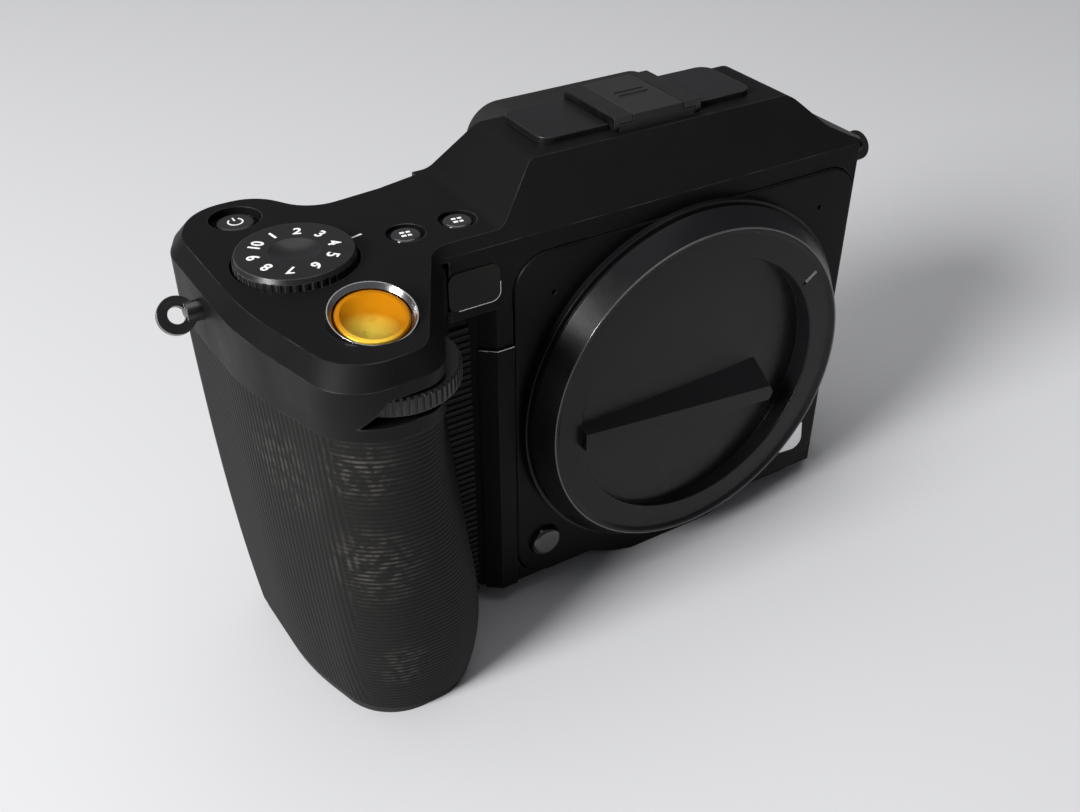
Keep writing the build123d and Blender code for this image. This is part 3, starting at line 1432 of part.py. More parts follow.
with BuildPart() as main_board:
    add(rear_block((-board_left, board_face, board_low), (board_right, board_face + main_board_thickness, board_high),
                   slip))
    for across, up in chip_shares:
        middle = (across * board_left, axis_height + up * board_left)
        add(rear_block((middle[0] - chip_width / 2, board_face + main_board_thickness, middle[1] - chip_width / 2),
                       (middle[0] + chip_width / 2, board_face + main_board_thickness + chip_height,
                        middle[1] + chip_width / 2), slip))
save(main_board.part, "main_board")

# Strap lugs
with BuildPart() as strap_lugs:
    for reach, height in ((-left_reach, lug_height), (right_reach, right_lug_height)):
        side = copysign(1, reach)
        wall_reach = reach - side * lug_wall_setback
        eye = (reach + side * lug_reach, lug_setback, height)
        eye_plane = Plane(origin=eye, x_dir=(1, 0, 0), z_dir=(0, cos(radians(lug_tilt)), -sin(radians(lug_tilt))))
        with BuildSketch(eye_plane.offset(-lug_thickness / 2)):
            Circle(lug_eye_radius)
        extrude(amount=lug_thickness)
        with BuildSketch(Plane.YZ.offset(wall_reach - side * (grip_wall + seat_gap + lug_head))):
            with Locations((lug_setback, height)):
                Circle(lug_stem_radius)
        extrude(amount=side * ((grip_wall + seat_gap + lug_head) + lug_reach + lug_wall_setback - lug_hole_radius))
        with BuildSketch(Plane.YZ.offset(wall_reach - side * (grip_wall + seat_gap))):
            with Locations((lug_setback, height)):
                Circle(lug_head_radius)
        extrude(amount=-side * lug_head)
        with BuildSketch(eye_plane.offset(-lug_thickness)):
            Circle(lug_hole_radius)
        extrude(amount=2 * lug_thickness, mode=Mode.SUBTRACT)
save(strap_lugs.part, "strap_lugs")
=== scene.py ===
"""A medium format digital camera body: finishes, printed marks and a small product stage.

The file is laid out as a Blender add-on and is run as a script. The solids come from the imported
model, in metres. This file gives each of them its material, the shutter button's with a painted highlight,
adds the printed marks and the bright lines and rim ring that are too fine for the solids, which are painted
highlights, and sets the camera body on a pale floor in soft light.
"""

from math import cos, hypot, pi, radians, sin

import bmesh
import bpy
from bpy.props import FloatProperty, FloatVectorProperty, IntProperty, PointerProperty
from bpy.types import Operator, Panel, PropertyGroup
from mathutils import Matrix, Vector


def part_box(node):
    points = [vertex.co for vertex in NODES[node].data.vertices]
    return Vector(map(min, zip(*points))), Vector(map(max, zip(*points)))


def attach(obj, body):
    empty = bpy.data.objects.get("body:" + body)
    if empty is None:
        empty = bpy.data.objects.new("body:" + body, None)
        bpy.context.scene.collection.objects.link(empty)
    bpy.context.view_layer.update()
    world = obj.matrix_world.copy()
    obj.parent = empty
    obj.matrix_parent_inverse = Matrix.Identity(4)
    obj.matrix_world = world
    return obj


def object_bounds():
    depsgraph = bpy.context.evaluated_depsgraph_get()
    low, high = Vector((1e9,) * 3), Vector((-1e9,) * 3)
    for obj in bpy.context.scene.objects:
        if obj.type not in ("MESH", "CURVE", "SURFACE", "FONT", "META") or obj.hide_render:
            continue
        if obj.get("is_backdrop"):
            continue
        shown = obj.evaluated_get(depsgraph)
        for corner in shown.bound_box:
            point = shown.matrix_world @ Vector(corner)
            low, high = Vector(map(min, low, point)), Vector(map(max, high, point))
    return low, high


bl_info = {
    "name": "Medium format camera body",
    "version": (1, 0, 0),
    "blender": (4, 5, 0),
    "location": "View3D > Sidebar > Camera Body",
    "description": "Finishes, marks and stage for a medium format digital camera body",
    "category": "Object",
}

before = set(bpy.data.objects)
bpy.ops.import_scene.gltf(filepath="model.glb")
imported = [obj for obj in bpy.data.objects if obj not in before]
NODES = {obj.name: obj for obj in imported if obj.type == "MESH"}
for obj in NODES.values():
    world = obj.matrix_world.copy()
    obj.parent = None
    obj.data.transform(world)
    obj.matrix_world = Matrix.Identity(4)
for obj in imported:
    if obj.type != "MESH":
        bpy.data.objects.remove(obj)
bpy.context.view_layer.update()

# Everything is in metres, and MM turns the millimetres of a drawing into them.
MM = 0.001

# Heights and places on the part that several steps share
LENS_AXIS_HEIGHT = 46 * MM
DECK_HEIGHT = 91.1 * MM
DIAL_PLACE = (-79.3 * MM, -5.0 * MM)
POWER_PLACE = (-82.9 * MM, 15.7 * MM)
SHUTTER_PLACE = (-76.3 * MM, -30.4 * MM, 91.9 * MM)
SHUTTER_LEAN = radians(15)

# The point that the lamps face, and the place and directions of the photograph's view
LAMP_TARGET = Vector((-0.02, -0.01, 0.05))
VIEW_PLACE = (-0.13795, -0.18310, 0.19096)
VIEW_FORWARD = (0.42254, 0.69407, -0.58285)
VIEW_RIGHT = (0.85469, -0.51913, 0.00142)
SENSOR_WIDTH = 36.0


def in_mm(*lengths):
    """The lengths of a drawing in millimetres, turned into metres."""
    return tuple(length * MM for length in lengths)


# Settings

class CameraFinishSettings(PropertyGroup):
    """Colours and surface detail of the camera body"""

    casing_colour: FloatVectorProperty(
        name="Casing", description="Painted metal of the covers", subtype="COLOR",
        size=3, min=0, max=1, default=(0.0036, 0.0036, 0.0038))
    plate_colour: FloatVectorProperty(
        name="Front plate", description="Satin black plate round the lens mount", subtype="COLOR",
        size=3, min=0, max=1, default=(0.0030, 0.0030, 0.0032))
    rubber_colour: FloatVectorProperty(
        name="Grip rubber", description="Warm black rubber of the grip", subtype="COLOR",
        size=3, min=0, max=1, default=(0.0062, 0.0059, 0.0054))
    strip_colour: FloatVectorProperty(
        name="Recess strip", description="Lighter ribbed strip behind the fingertips", subtype="COLOR",
        size=3, min=0, max=1, default=(0.012, 0.0117, 0.011))
    cap_colour: FloatVectorProperty(
        name="Body cap", description="Dark grey moulded cap", subtype="COLOR",
        size=3, min=0, max=1, default=(0.0042, 0.0043, 0.0048))
    shutter_colour: FloatVectorProperty(
        name="Shutter button", description="Orange anodised button", subtype="COLOR",
        size=3, min=0, max=1, default=(0.52, 0.19, 0.003))
    mark_colour: FloatVectorProperty(
        name="Marks", description="Printed figures and lines", subtype="COLOR",
        size=3, min=0, max=1, default=(0.78, 0.78, 0.76))
    paint_grain: FloatProperty(
        name="Paint grain", description="Size of the fine texture in the paint", subtype="DISTANCE",
        unit="LENGTH", min=0.00005, max=0.002, default=0.00022)
    rib_pitch: FloatProperty(
        name="Rib pitch", description="Distance from rib to rib in the grip rubber",
        subtype="DISTANCE", unit="LENGTH", min=0.0004, max=0.004, default=0.00105)
    edge_wear: FloatProperty(
        name="Edge wear", description="How far the paint is rubbed off along the edges",
        subtype="FACTOR", min=0, max=1, default=0.28)


class CameraMarkSettings(PropertyGroup):
    """Sizes of the printed figures and lines"""

    figure_count: IntProperty(
        name="Figures", description="Number of positions printed round the mode dial",
        min=4, max=14, default=10)
    figure_height: FloatProperty(
        name="Figure height", description="Height of a figure on the mode dial",
        subtype="DISTANCE", unit="LENGTH", min=0.0005, max=0.004, default=0.0023)
    figure_ring: FloatProperty(
        name="Figure ring", description="Distance of the figures from the middle of the dial",
        subtype="DISTANCE", unit="LENGTH", min=0.004, max=0.010, default=0.0070)
    ink_height: FloatProperty(
        name="Ink height", description="How far a printed mark stands on its surface",
        subtype="DISTANCE", unit="LENGTH", min=0.00001, max=0.0002, default=0.00003)


class CameraStageSettings(PropertyGroup):
    """Floor, lamps and the view of the photograph"""

    floor_colour: FloatVectorProperty(
        name="Floor", description="Pale paper under the camera body", subtype="COLOR",
        size=3, min=0, max=1, default=(0.50, 0.50, 0.512))
    overhead_power: FloatProperty(
        name="Overhead lamp", description="Power of the large lamp above and behind",
        unit="POWER", min=0, max=200, default=27.0)
    side_power: FloatProperty(
        name="Side lamp", description="Power of the lamp at the left",
        unit="POWER", min=0, max=200, default=34.0)
    sky_strength: FloatProperty(
        name="Room light", description="Strength of the even light from the room",
        min=0, max=5, default=0.20)
    focal_length: FloatProperty(
        name="Focal length", description="Lens of the view, in millimetres on a 36 mm wide sensor",
        min=10, max=200, default=39.66)


# Material building

# A mix node has a socket for each kind of data under one name, so these are reached by their number
COLOUR_SOCKETS, COLOUR_RESULT = (6, 7), 2
NUMBER_SOCKETS, NUMBER_RESULT = (2, 3), 0


def start_finish(name, colour, roughness, metallic=0.0, specular=0.5):
    """A new material, its tree and its shader, with the values that are the same all over."""
    finish = bpy.data.materials.new(name)
    finish.use_nodes = True
    tree = finish.node_tree
    shader = tree.nodes["Principled BSDF"]
    shader.inputs["Base Color"].default_value = (*colour, 1)
    shader.inputs["Roughness"].default_value = roughness
    shader.inputs["Metallic"].default_value = metallic
    shader.inputs["Specular IOR Level"].default_value = specular
    finish.diffuse_color = (*colour, 1)
    return finish, tree, shader


def wire(tree, shader, colour, normal, gloss=None):
    """Links the patterns of a finish to its shader; without a gloss pattern the roughness stays even."""
    tree.links.new(colour, shader.inputs["Base Color"])
    tree.links.new(normal, shader.inputs["Normal"])
    if gloss is not None:
        tree.links.new(gloss, shader.inputs["Roughness"])


def place(tree, kind, label, **values):
    """A new node, its plain attributes and its input values set from the keywords."""
    node = tree.nodes.new(kind)
    node.label = label
    for key, value in values.items():
        socket = key.replace("_", " ")
        if hasattr(node, key):
            setattr(node, key, value)
        elif socket in node.inputs:
            node.inputs[socket].default_value = value
        else:
            raise ValueError(f"{kind} has neither an attribute nor an input {key}")
    return node


def surface_place(tree):
    """Where a point lies on the part, in metres, so that a texture stays with its piece."""
    return place(tree, "ShaderNodeTexCoord", "place on the part").outputs["Object"]


def away_from(tree, point, label):
    """Distance of the surface from one point of the part, in metres."""
    measure = place(tree, "ShaderNodeVectorMath", label, operation="DISTANCE")
    tree.links.new(surface_place(tree), measure.inputs[0])
    measure.inputs[1].default_value = point
    return measure.outputs["Value"]


def cloud(tree, size, label, detail=4.0, roughness=0.6):
    """A cloudy pattern whose patches are about the given size, from 0 to 1."""
    pattern = place(tree, "ShaderNodeTexNoise", label, Scale=1 / size, Detail=detail, Roughness=roughness)
    tree.links.new(surface_place(tree), pattern.inputs["Vector"])
    return pattern.outputs["Fac"]


def remap(tree, source, start, end, low, high, label):
    """The source from start to end spread over low to high."""
    spread = place(tree, "ShaderNodeMapRange", label)
    for socket, value in (("From Min", start), ("From Max", end), ("To Min", low), ("To Max", high)):
        spread.inputs[socket].default_value = value
    tree.links.new(source, spread.inputs["Value"])
    return spread.outputs["Result"]


def patches(tree, size, label, low=0, high=1, start=0.3, end=0.7):
    """A cloudy pattern spread over low to high, so that its patches stand apart."""
    return remap(tree, cloud(tree, size, label), start, end, low, high, f"{label} spread")


def combine(tree, operation, first, second, label):
    """Two values put together, the second a number or a socket."""
    joined = place(tree, "ShaderNodeMath", label, operation=operation)
    tree.links.new(first, joined.inputs[0])
    if isinstance(second, (int, float)):
        joined.inputs[1].default_value = second
    else:
        tree.links.new(second, joined.inputs[1])
    return joined.outputs["Value"]


def blend_colours(tree, factor, first, second, label):
    """A mix of two colours by a pattern; the first may be the output of an earlier mix."""
    mix = place(tree, "ShaderNodeMix", label, data_type="RGBA")
    tree.links.new(factor, mix.inputs["Factor"])
    for number, colour in zip(COLOUR_SOCKETS, (first, second)):
        if isinstance(colour, bpy.types.NodeSocket):
            tree.links.new(colour, mix.inputs[number])
        else:
            mix.inputs[number].default_value = (*colour, 1)
    return mix.outputs[COLOUR_RESULT]


def scaled(colour, share):
    """The colour made lighter or darker."""
    return tuple(min(1.0, c * share) for c in colour)


def eased_edges(tree, radius):
    """Normals that run round the edges of a solid, as a break of this radius would."""
    return place(tree, "ShaderNodeBevel", "eased edges", samples=6, Radius=radius)


def rubbed_edges(tree, eased, patch, label):
    """A mask that is bright where an edge is rubbed, broken up into patches."""
    flat_cosine, edge_cosine = 0.995, 0.90
    flat = place(tree, "ShaderNodeNewGeometry", "facet")
    facing = place(tree, "ShaderNodeVectorMath", "edge or flat", operation="DOT_PRODUCT")
    tree.links.new(eased.outputs["Normal"], facing.inputs[0])
    tree.links.new(flat.outputs["Normal"], facing.inputs[1])
    edge = remap(tree, facing.outputs["Value"], flat_cosine, edge_cosine, 0, 1, "edge")
    broken = patches(tree, patch, "rubbed patches", low=0.15, start=0.42, end=0.62)
    return combine(tree, "MULTIPLY", edge, broken, label)


def relief(tree, height, depth, strength, below=None):
    """A bump of the given depth, over the normals below it."""
    bump = place(tree, "ShaderNodeBump", "relief", Strength=strength, Distance=depth)
    tree.links.new(height, bump.inputs["Height"])
    if below is not None:
        tree.links.new(below, bump.inputs["Normal"])
    return bump.outputs["Normal"]


def painted_metal(name, colour, settings, roughness=0.46, wear=1.0, specular=0.09):
    """Paint with a fine grain, dust-dulled patches and edges rubbed to a lighter tone."""
    edge_round, rubbed_patch, handled_patch, dull_patch = 0.28 * MM, 7 * MM, 26 * MM, 11 * MM
    grain_depth, gloss_spread, bare_metal = 0.02 * MM, 0.05, (0.20, 0.195, 0.185)
    finish, tree, shader = start_finish(name, colour, roughness, specular=specular)
    eased = eased_edges(tree, edge_round)
    rubbed = rubbed_edges(tree, eased, rubbed_patch, "rubbed paint")
    rubbed = combine(tree, "MULTIPLY", rubbed, settings.edge_wear * wear, "wear amount")
    handled = patches(tree, handled_patch, "handling")
    toned = blend_colours(tree, handled, scaled(colour, 0.88), scaled(colour, 1.16), "tone")
    dulled = patches(tree, dull_patch, "dulled", roughness - gloss_spread, roughness + gloss_spread)
    grain = cloud(tree, settings.paint_grain, "paint grain", detail=2.0)
    wire(tree, shader, blend_colours(tree, rubbed, toned, bare_metal, "rubbed tone"),
         relief(tree, grain, grain_depth, 0.55, eased.outputs["Normal"]), dulled)
    return finish


def moulded_plastic(name, colour, settings, roughness=0.5, specular=0.12,
                    grain_size=0.35 * MM, grain_depth=0.02 * MM):
    """Spark-textured plastic with faint flow patches."""
    edge_round, rubbed_patch, flow_patch, gloss_patch = 0.2 * MM, 5 * MM, 16 * MM, 8 * MM
    finish, tree, shader = start_finish(name, colour, roughness, specular=specular)
    eased = eased_edges(tree, edge_round)
    rubbed = rubbed_edges(tree, eased, rubbed_patch, "rubbed")
    rubbed = combine(tree, "MULTIPLY", rubbed, settings.edge_wear * 0.6, "wear")
    flow = patches(tree, flow_patch, "flow")
    toned = blend_colours(tree, flow, scaled(colour, 0.9), scaled(colour, 1.12), "tone")
    gloss = patches(tree, gloss_patch, "gloss", roughness - 0.05, roughness + 0.06)
    grain = cloud(tree, grain_size, "spark texture", detail=2.0)
    wire(tree, shader, blend_colours(tree, rubbed, toned, scaled(colour, 4), "rubbed tone"),
         relief(tree, grain, grain_depth, 0.6, eased.outputs["Normal"]), gloss)
    return finish


def ribs_along(tree, axis, pitch, label):
    """Rounded ribs across one axis, from 0 in the groove to 1 on the crest."""
    parts = place(tree, "ShaderNodeSeparateXYZ", "axes")
    tree.links.new(surface_place(tree), parts.inputs["Vector"])
    turns = combine(tree, "MULTIPLY", parts.outputs[axis], 2 * pi / pitch, f"{label} turns")
    wave = combine(tree, "SINE", turns, 0, f"{label} wave")
    return remap(tree, wave, -0.6, 0.9, 0, 1, label)


def ribs_by_side(tree, settings):
    """Level ribs at the front of the grip and upright ribs at its side, with a ragged border."""
    border_patch, ragged, upright_share = 9 * MM, 0.3, 1.15
    front_until, side_from = -0.72, -0.84
    level = ribs_along(tree, "Z", settings.rib_pitch, "level ribs")
    upright = ribs_along(tree, "Y", settings.rib_pitch * upright_share, "upright ribs")
    facing = place(tree, "ShaderNodeTexCoord", "facing")
    sides = place(tree, "ShaderNodeSeparateXYZ", "side or front")
    tree.links.new(facing.outputs["Normal"], sides.inputs["Vector"])
    border = remap(tree, cloud(tree, border_patch, "ragged border"), 0, 1, -ragged, ragged, "border")
    wander = combine(tree, "ADD", sides.outputs["X"], border, "side with border")
    chosen = place(tree, "ShaderNodeMix", "ribs", data_type="FLOAT")
    at_side = remap(tree, wander, front_until, side_from, 0, 1, "left side")
    tree.links.new(at_side, chosen.inputs["Factor"])
    for number, ribs in zip(NUMBER_SOCKETS, (level, upright)):
        tree.links.new(ribs, chosen.inputs[number])
    return chosen.outputs[NUMBER_RESULT]


def ribbed_rubber(name, colour, settings, worn_spots=()):
    """Grip rubber with ribs, cloudy tones and spots worn by the hand, each a place and a radius."""
    mottle_patch, torn_patch, grain_size = 14 * MM, 2.2 * MM, 0.25 * MM
    rib_depth, grain_depth = 0.08 * MM, 0.02 * MM
    finish, tree, shader = start_finish(name, colour, 0.66, specular=0.14)
    ribs = ribs_by_side(tree, settings)
    mottled = patches(tree, mottle_patch, "mottled")
    toned = blend_colours(tree, mottled, scaled(colour, 0.86), scaled(colour, 1.15), "tone")
    crests = combine(tree, "MULTIPLY", ribs, 0.3, "crest share")
    toned = blend_colours(tree, crests, toned, scaled(colour, 1.5), "rib crests")
    for *spot, radius in worn_spots:
        reach = away_from(tree, spot, "from the worn spot")
        near = remap(tree, reach, radius, 0.2 * radius, 0, 1, "near the spot")
        torn = patches(tree, torn_patch, "torn", start=0.45, end=0.6)
        bare = combine(tree, "MULTIPLY", combine(tree, "MULTIPLY", near, torn, "worn"), ribs, "worn crests")
        bare = combine(tree, "MULTIPLY", bare, 0.8, "worn share")
        toned = blend_colours(tree, bare, toned, scaled(colour, 12.0), "worn rubber")
    grain = relief(tree, cloud(tree, grain_size, "rubber grain", detail=2.0), grain_depth, 0.5)
    wire(tree, shader, toned, relief(tree, ribs, rib_depth, 0.6, grain),
         remap(tree, ribs, 0, 1, 0.8, 0.56, "crests polished"))
    return finish


def machined_metal(name, colour, roughness, centre, axis, painted_highlight=None):
    """Turned metal with fine rings about an axis; if asked, a painted highlight: a round patch of brighter
    colour at a place, standing in for a lamp's reflection.
    """
    ring_pitch, ring_depth, haze_patch, edge_round = 0.12 * MM, 0.004 * MM, 2.5 * MM, 0.18 * MM
    finish, tree, shader = start_finish(name, colour, roughness, metallic=1.0)
    away = place(tree, "ShaderNodeVectorMath", "from the centre", operation="SUBTRACT")
    tree.links.new(surface_place(tree), away.inputs[0])
    away.inputs[1].default_value = centre
    across = place(tree, "ShaderNodeVectorMath", "across the axis", operation="CROSS_PRODUCT")
    tree.links.new(away.outputs["Vector"], across.inputs[0])
    across.inputs[1].default_value = axis
    reach = place(tree, "ShaderNodeVectorMath", "radius", operation="LENGTH")
    tree.links.new(across.outputs["Vector"], reach.inputs[0])
    turns = combine(tree, "MULTIPLY", reach.outputs["Value"], 2 * pi / ring_pitch, "ring turns")
    rings = combine(tree, "SINE", turns, 0, "rings")
    haze = cloud(tree, haze_patch, "haze")
    toned = blend_colours(tree, haze, scaled(colour, 0.9), scaled(colour, 1.08), "tone")
    # Painted highlight: the colour brightens towards a given spot, standing in for the lamp's reflection on
    # the metal.
    if painted_highlight:
        middle, painted_highlight_radius, bright = painted_highlight
        near = remap(tree, away_from(tree, middle, "from the pool"), painted_highlight_radius, 0.1 * painted_highlight_radius, 0, 1,
                     "near the pool")
        toned = blend_colours(tree, near, toned, bright, "painted_highlight")
    eased = eased_edges(tree, edge_round)
    wire(tree, shader, toned, relief(tree, rings, ring_depth, 0.5, eased.outputs["Normal"]),
         remap(tree, haze, 0.3, 0.7, roughness * 0.8, roughness * 1.35, "polish"))
    return finish


def plain_metal(name, colour, roughness):
    """Plated or blackened metal with hairline scratches and cloudy polish."""
    haze_patch, scratch_width, scratch_depth, edge_round = 3 * MM, 0.9 * MM, 0.006 * MM, 0.15 * MM
    finish, tree, shader = start_finish(name, colour, roughness, metallic=1.0)
    haze = cloud(tree, haze_patch, "haze")
    toned = blend_colours(tree, haze, scaled(colour, 0.85), scaled(colour, 1.12), "tone")
    stretch = place(tree, "ShaderNodeMapping", "drawn out")
    stretch.inputs["Scale"].default_value = (1, 0.08, 1)
    tree.links.new(surface_place(tree), stretch.inputs["Vector"])
    lines = place(tree, "ShaderNodeTexNoise", "hairlines", Scale=1 / scratch_width, Detail=3.0,
                  Distortion=1.5)
    tree.links.new(stretch.outputs["Vector"], lines.inputs["Vector"])
    eased = eased_edges(tree, edge_round)
    hairlines = relief(tree, lines.outputs["Fac"], scratch_depth, 0.4, eased.outputs["Normal"])
    wire(tree, shader, toned, hairlines,
         remap(tree, haze, 0.3, 0.7, roughness * 0.75, roughness * 1.3, "polish"))
    return finish


def gloss_black(name, colour, roughness=0.07):
    """Polished black with a clear skin, a faint waviness and fingerprints."""
    smear_patch, wave_patch, wave_depth = 6 * MM, 3 * MM, 0.008 * MM
    finish, tree, shader = start_finish(name, colour, roughness)
    shader.inputs["Coat Weight"].default_value = 0.6
    shader.inputs["Coat Roughness"].default_value = 0.04
    smear = cloud(tree, smear_patch, "fingerprints", detail=6.0)
    wire(tree, shader, blend_colours(tree, smear, colour, scaled(colour, 1.5), "tone"),
         relief(tree, cloud(tree, wave_patch, "waviness"), wave_depth, 0.3),
         remap(tree, smear, 0.35, 0.7, roughness, roughness + 0.14, "smear"))
    return finish


def tinted_window(name, colour, roughness, weight):
    """See-through plastic or glass with dust on it."""
    dust_patch, dust_depth = 1.2 * MM, 0.004 * MM
    finish, tree, shader = start_finish(name, colour, roughness, specular=0.14)
    shader.inputs["Transmission Weight"].default_value = weight
    shader.inputs["IOR"].default_value = 1.49
    dust = cloud(tree, dust_patch, "dust", detail=6.0)
    wire(tree, shader, blend_colours(tree, dust, colour, scaled(colour, 1.25), "tone"),
         relief(tree, dust, dust_depth, 0.3),
         remap(tree, dust, 0.5, 0.75, roughness, roughness + 0.2, "dust spread"))
    return finish


def circuit_board(name, colour):
    """Lacquered board with a net of copper traces."""
    trace_cell, trace_height, copper = 2.4 * MM, 0.03 * MM, (0.35, 0.24, 0.08)
    finish, tree, shader = start_finish(name, colour, 0.32)
    traces = place(tree, "ShaderNodeTexVoronoi", "traces", feature="DISTANCE_TO_EDGE", distance="EUCLIDEAN",
                   Scale=1 / trace_cell)
    tree.links.new(surface_place(tree), traces.inputs["Vector"])
    lines = remap(tree, traces.outputs["Distance"], 0.02, 0.07, 1, 0, "trace lines")
    wire(tree, shader, blend_colours(tree, lines, colour, copper, "copper"),
         relief(tree, lines, trace_height, 0.6), remap(tree, lines, 0, 1, 0.28, 0.45, "lacquer"))
    return finish


def light_sensor(name):
    """Dark iridescent chip with a fine grid."""
    cell, cell_depth, sheen_patch = 0.3 * MM, 0.004 * MM, 22 * MM
    finish, tree, shader = start_finish(name, (0.03, 0.035, 0.06), 0.16, metallic=0.55)
    shader.inputs["Coat Weight"].default_value = 0.8
    grid = combine(tree, "MULTIPLY", ribs_along(tree, "X", cell, "columns"),
                   ribs_along(tree, "Z", cell, "rows"), "grid")
    sheen = cloud(tree, sheen_patch, "sheen")
    wire(tree, shader, blend_colours(tree, sheen, (0.02, 0.05, 0.05), (0.07, 0.02, 0.08), "sheen tone"),
         relief(tree, grid, cell_depth, 0.4))
    return finish


def printed_ink(name, colour):
    """Screen-printed ink with thin and worn places."""
    thin_patch, ink_relief = 0.4 * MM, 0.005 * MM
    finish, tree, shader = start_finish(name, colour, 0.55)
    thin = cloud(tree, thin_patch, "thin ink")
    cover = remap(tree, thin, 0.35, 0.6, 0, 1, "cover")
    wire(tree, shader, blend_colours(tree, cover, scaled(colour, 0.72), colour, "ink"),
         relief(tree, thin, ink_relief, 0.4), remap(tree, thin, 0.3, 0.7, 0.45, 0.65, "ink gloss"))
    return finish


def dress(names, finish):
    """Gives each named solid its finish, in the slots that it already has."""
    for name in names:
        solid = NODES[name]
        if not solid.material_slots:
            solid.data.materials.append(finish)
        for material_slot in solid.material_slots:
            material_slot.material = finish


def ink():
    """The ink that most printed marks share, made once."""
    name = "printed_ink"
    return bpy.data.materials.get(name) or printed_ink(name, bpy.context.scene.camera_finish.mark_colour)


def painted_highlight_metal():
    """The bright metal that the two thin strips on the front share, made once; both strips are painted
    highlights, bright pieces standing in for glints on edges.
    """
    name = "highlight_line_metal"
    return bpy.data.materials.get(name) or plain_metal(name, (0.75, 0.75, 0.76), 0.24)


# Mark building

def set_out(mesh_name, builder, place_in_frame, body, finish):
    """Makes one thin piece from a bmesh, puts it in the frame and lets it ride on its body."""
    form = bmesh.new()
    builder(form)
    bmesh.ops.recalc_face_normals(form, faces=form.faces[:])
    mesh = bpy.data.meshes.new(mesh_name)
    form.to_mesh(mesh)
    form.free()
    mesh.transform(place_in_frame)
    mesh.materials.append(finish)
    piece = bpy.data.objects.new(mesh_name, mesh)
    bpy.context.collection.objects.link(piece)
    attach(piece, body)


def facing_front(x, y, z):
    """Stands a flat drawing upright at the given place, so that it faces the front."""
    return Matrix(((1, 0, 0, x), (0, 0, -1, y), (0, 1, 0, z), (0, 0, 0, 1)))


def raise_outline(form, outline, height):
    """One flat shape with a small height, from a closed outline of points."""
    low = [form.verts.new((x, y, 0)) for x, y in outline]
    high = [form.verts.new((x, y, height)) for x, y in outline]
    form.faces.new(high)
    form.faces.new(low[::-1])
    for i, corner in enumerate(low):
        after = (i + 1) % len(low)
        form.faces.new((corner, low[after], high[after], high[i]))


def arc(radius, angles, centre=(0, 0)):
    """Points round a centre, one for each angle in radians."""
    return [(centre[0] + radius * cos(angle), centre[1] + radius * sin(angle)) for angle in angles]


def arc_band(radius, width, start, end, steps):
    """Outline of a part of a ring, the angles in degrees."""
    angles = [radians(start + (end - start) * i / steps) for i in range(steps + 1)]
    return arc(radius + width / 2, angles) + arc(radius - width / 2, angles)[::-1]


def stroke(first, last, width):
    """Outline of a straight line with square ends."""
    (x0, y0), (x1, y1) = first, last
    reach = hypot(x1 - x0, y1 - y0)
    side_x, side_y = (y0 - y1) / reach * width / 2, (x1 - x0) / reach * width / 2
    return [(x0 - side_x, y0 - side_y), (x1 - side_x, y1 - side_y),
            (x1 + side_x, y1 + side_y), (x0 + side_x, y0 + side_y)]


def figure_mesh(text, height):
    """One figure as a thin mesh, its middle at the origin."""
    size_for_height, swelling = 1.38, 0.07 * MM
    letters = bpy.data.curves.new(f"figure_{text}", "FONT")
    letters.body = text
    letters.size = height * size_for_height
    letters.align_x = "CENTER"
    letters.align_y = "CENTER"
    letters.offset = swelling
    letters.extrude = bpy.context.scene.camera_marks.ink_height / 2
    holder = bpy.data.objects.new(f"figure_{text}_curve", letters)
    bpy.context.collection.objects.link(holder)
    bpy.context.view_layer.update()
    mesh = bpy.data.meshes.new_from_object(holder.evaluated_get(bpy.context.evaluated_depsgraph_get()))
    bpy.data.objects.remove(holder)
    bpy.data.curves.remove(letters)
    return mesh


# Operators for the finishes

class MFCAMERA_OT_covers(Operator):
    """Paint the covers, doors and plates"""

    bl_idname = "mfcamera.covers"
    bl_label = "Paint covers"

    def execute(self, context):
        settings = context.scene.camera_finish
        casing = painted_metal("casing_paint", settings.casing_colour, settings)
        plate = painted_metal("front_plate_paint", settings.plate_colour, settings, roughness=0.40, wear=1.2)
        shoe = painted_metal("shoe_side_paint", scaled(settings.casing_colour, 1.4), settings,
                             roughness=0.34, specular=0.3)
        doors = moulded_plastic("door_plastic", scaled(settings.casing_colour, 1.15), settings)
        dress(("top_cover", "main_casing", "rear_cover", "tripod_base", "front_trim"), casing)
        dress(("front_plate",), plate)
        dress(("shoe_side_plates",), shoe)
        dress(("card_door", "port_door"), doors)
        return {"FINISHED"}


class MFCAMERA_OT_rubber(Operator):
    """Cover the grip, thumb rest and eyecup with rubber"""

    bl_idname = "mfcamera.rubber"
    bl_label = "Cover with rubber"

    def execute(self, context):
        settings = context.scene.camera_finish
        worn_spots = (
            in_mm(-85.5, -42.0, 46.0, 13.0),
            in_mm(-101.0, -25.0, 62.0, 15.0),
            in_mm(-86.0, -41.0, 69.0, 9.0),
            in_mm(-99.0, -31.0, 24.0, 11.0),
            in_mm(-80.0, -40.0, 17.0, 9.0),
        )
        grip = ribbed_rubber("grip_rubber", settings.rubber_colour, settings, worn_spots)
        dress(("grip_rubber",), grip)
        dress(("thumb_rest",), ribbed_rubber("thumb_rubber", settings.rubber_colour, settings))
        dress(("recess_strip",), ribbed_rubber("recess_rubber", settings.strip_colour, settings))
        dress(("eyecup",), moulded_plastic("eyecup_rubber", (0.014, 0.014, 0.014), settings, roughness=0.72))
        return {"FINISHED"}


class MFCAMERA_OT_cap(Operator):
    """Finish the body cap"""

    bl_idname = "mfcamera.cap"
    bl_label = "Finish body cap"

    def execute(self, context):
        settings = context.scene.camera_finish
        cap = moulded_plastic("cap_plastic", settings.cap_colour, settings, roughness=0.30, specular=0.22,
                              grain_size=0.16 * MM, grain_depth=0.010 * MM)
        dress(("body_cap",), cap)
        return {"FINISHED"}


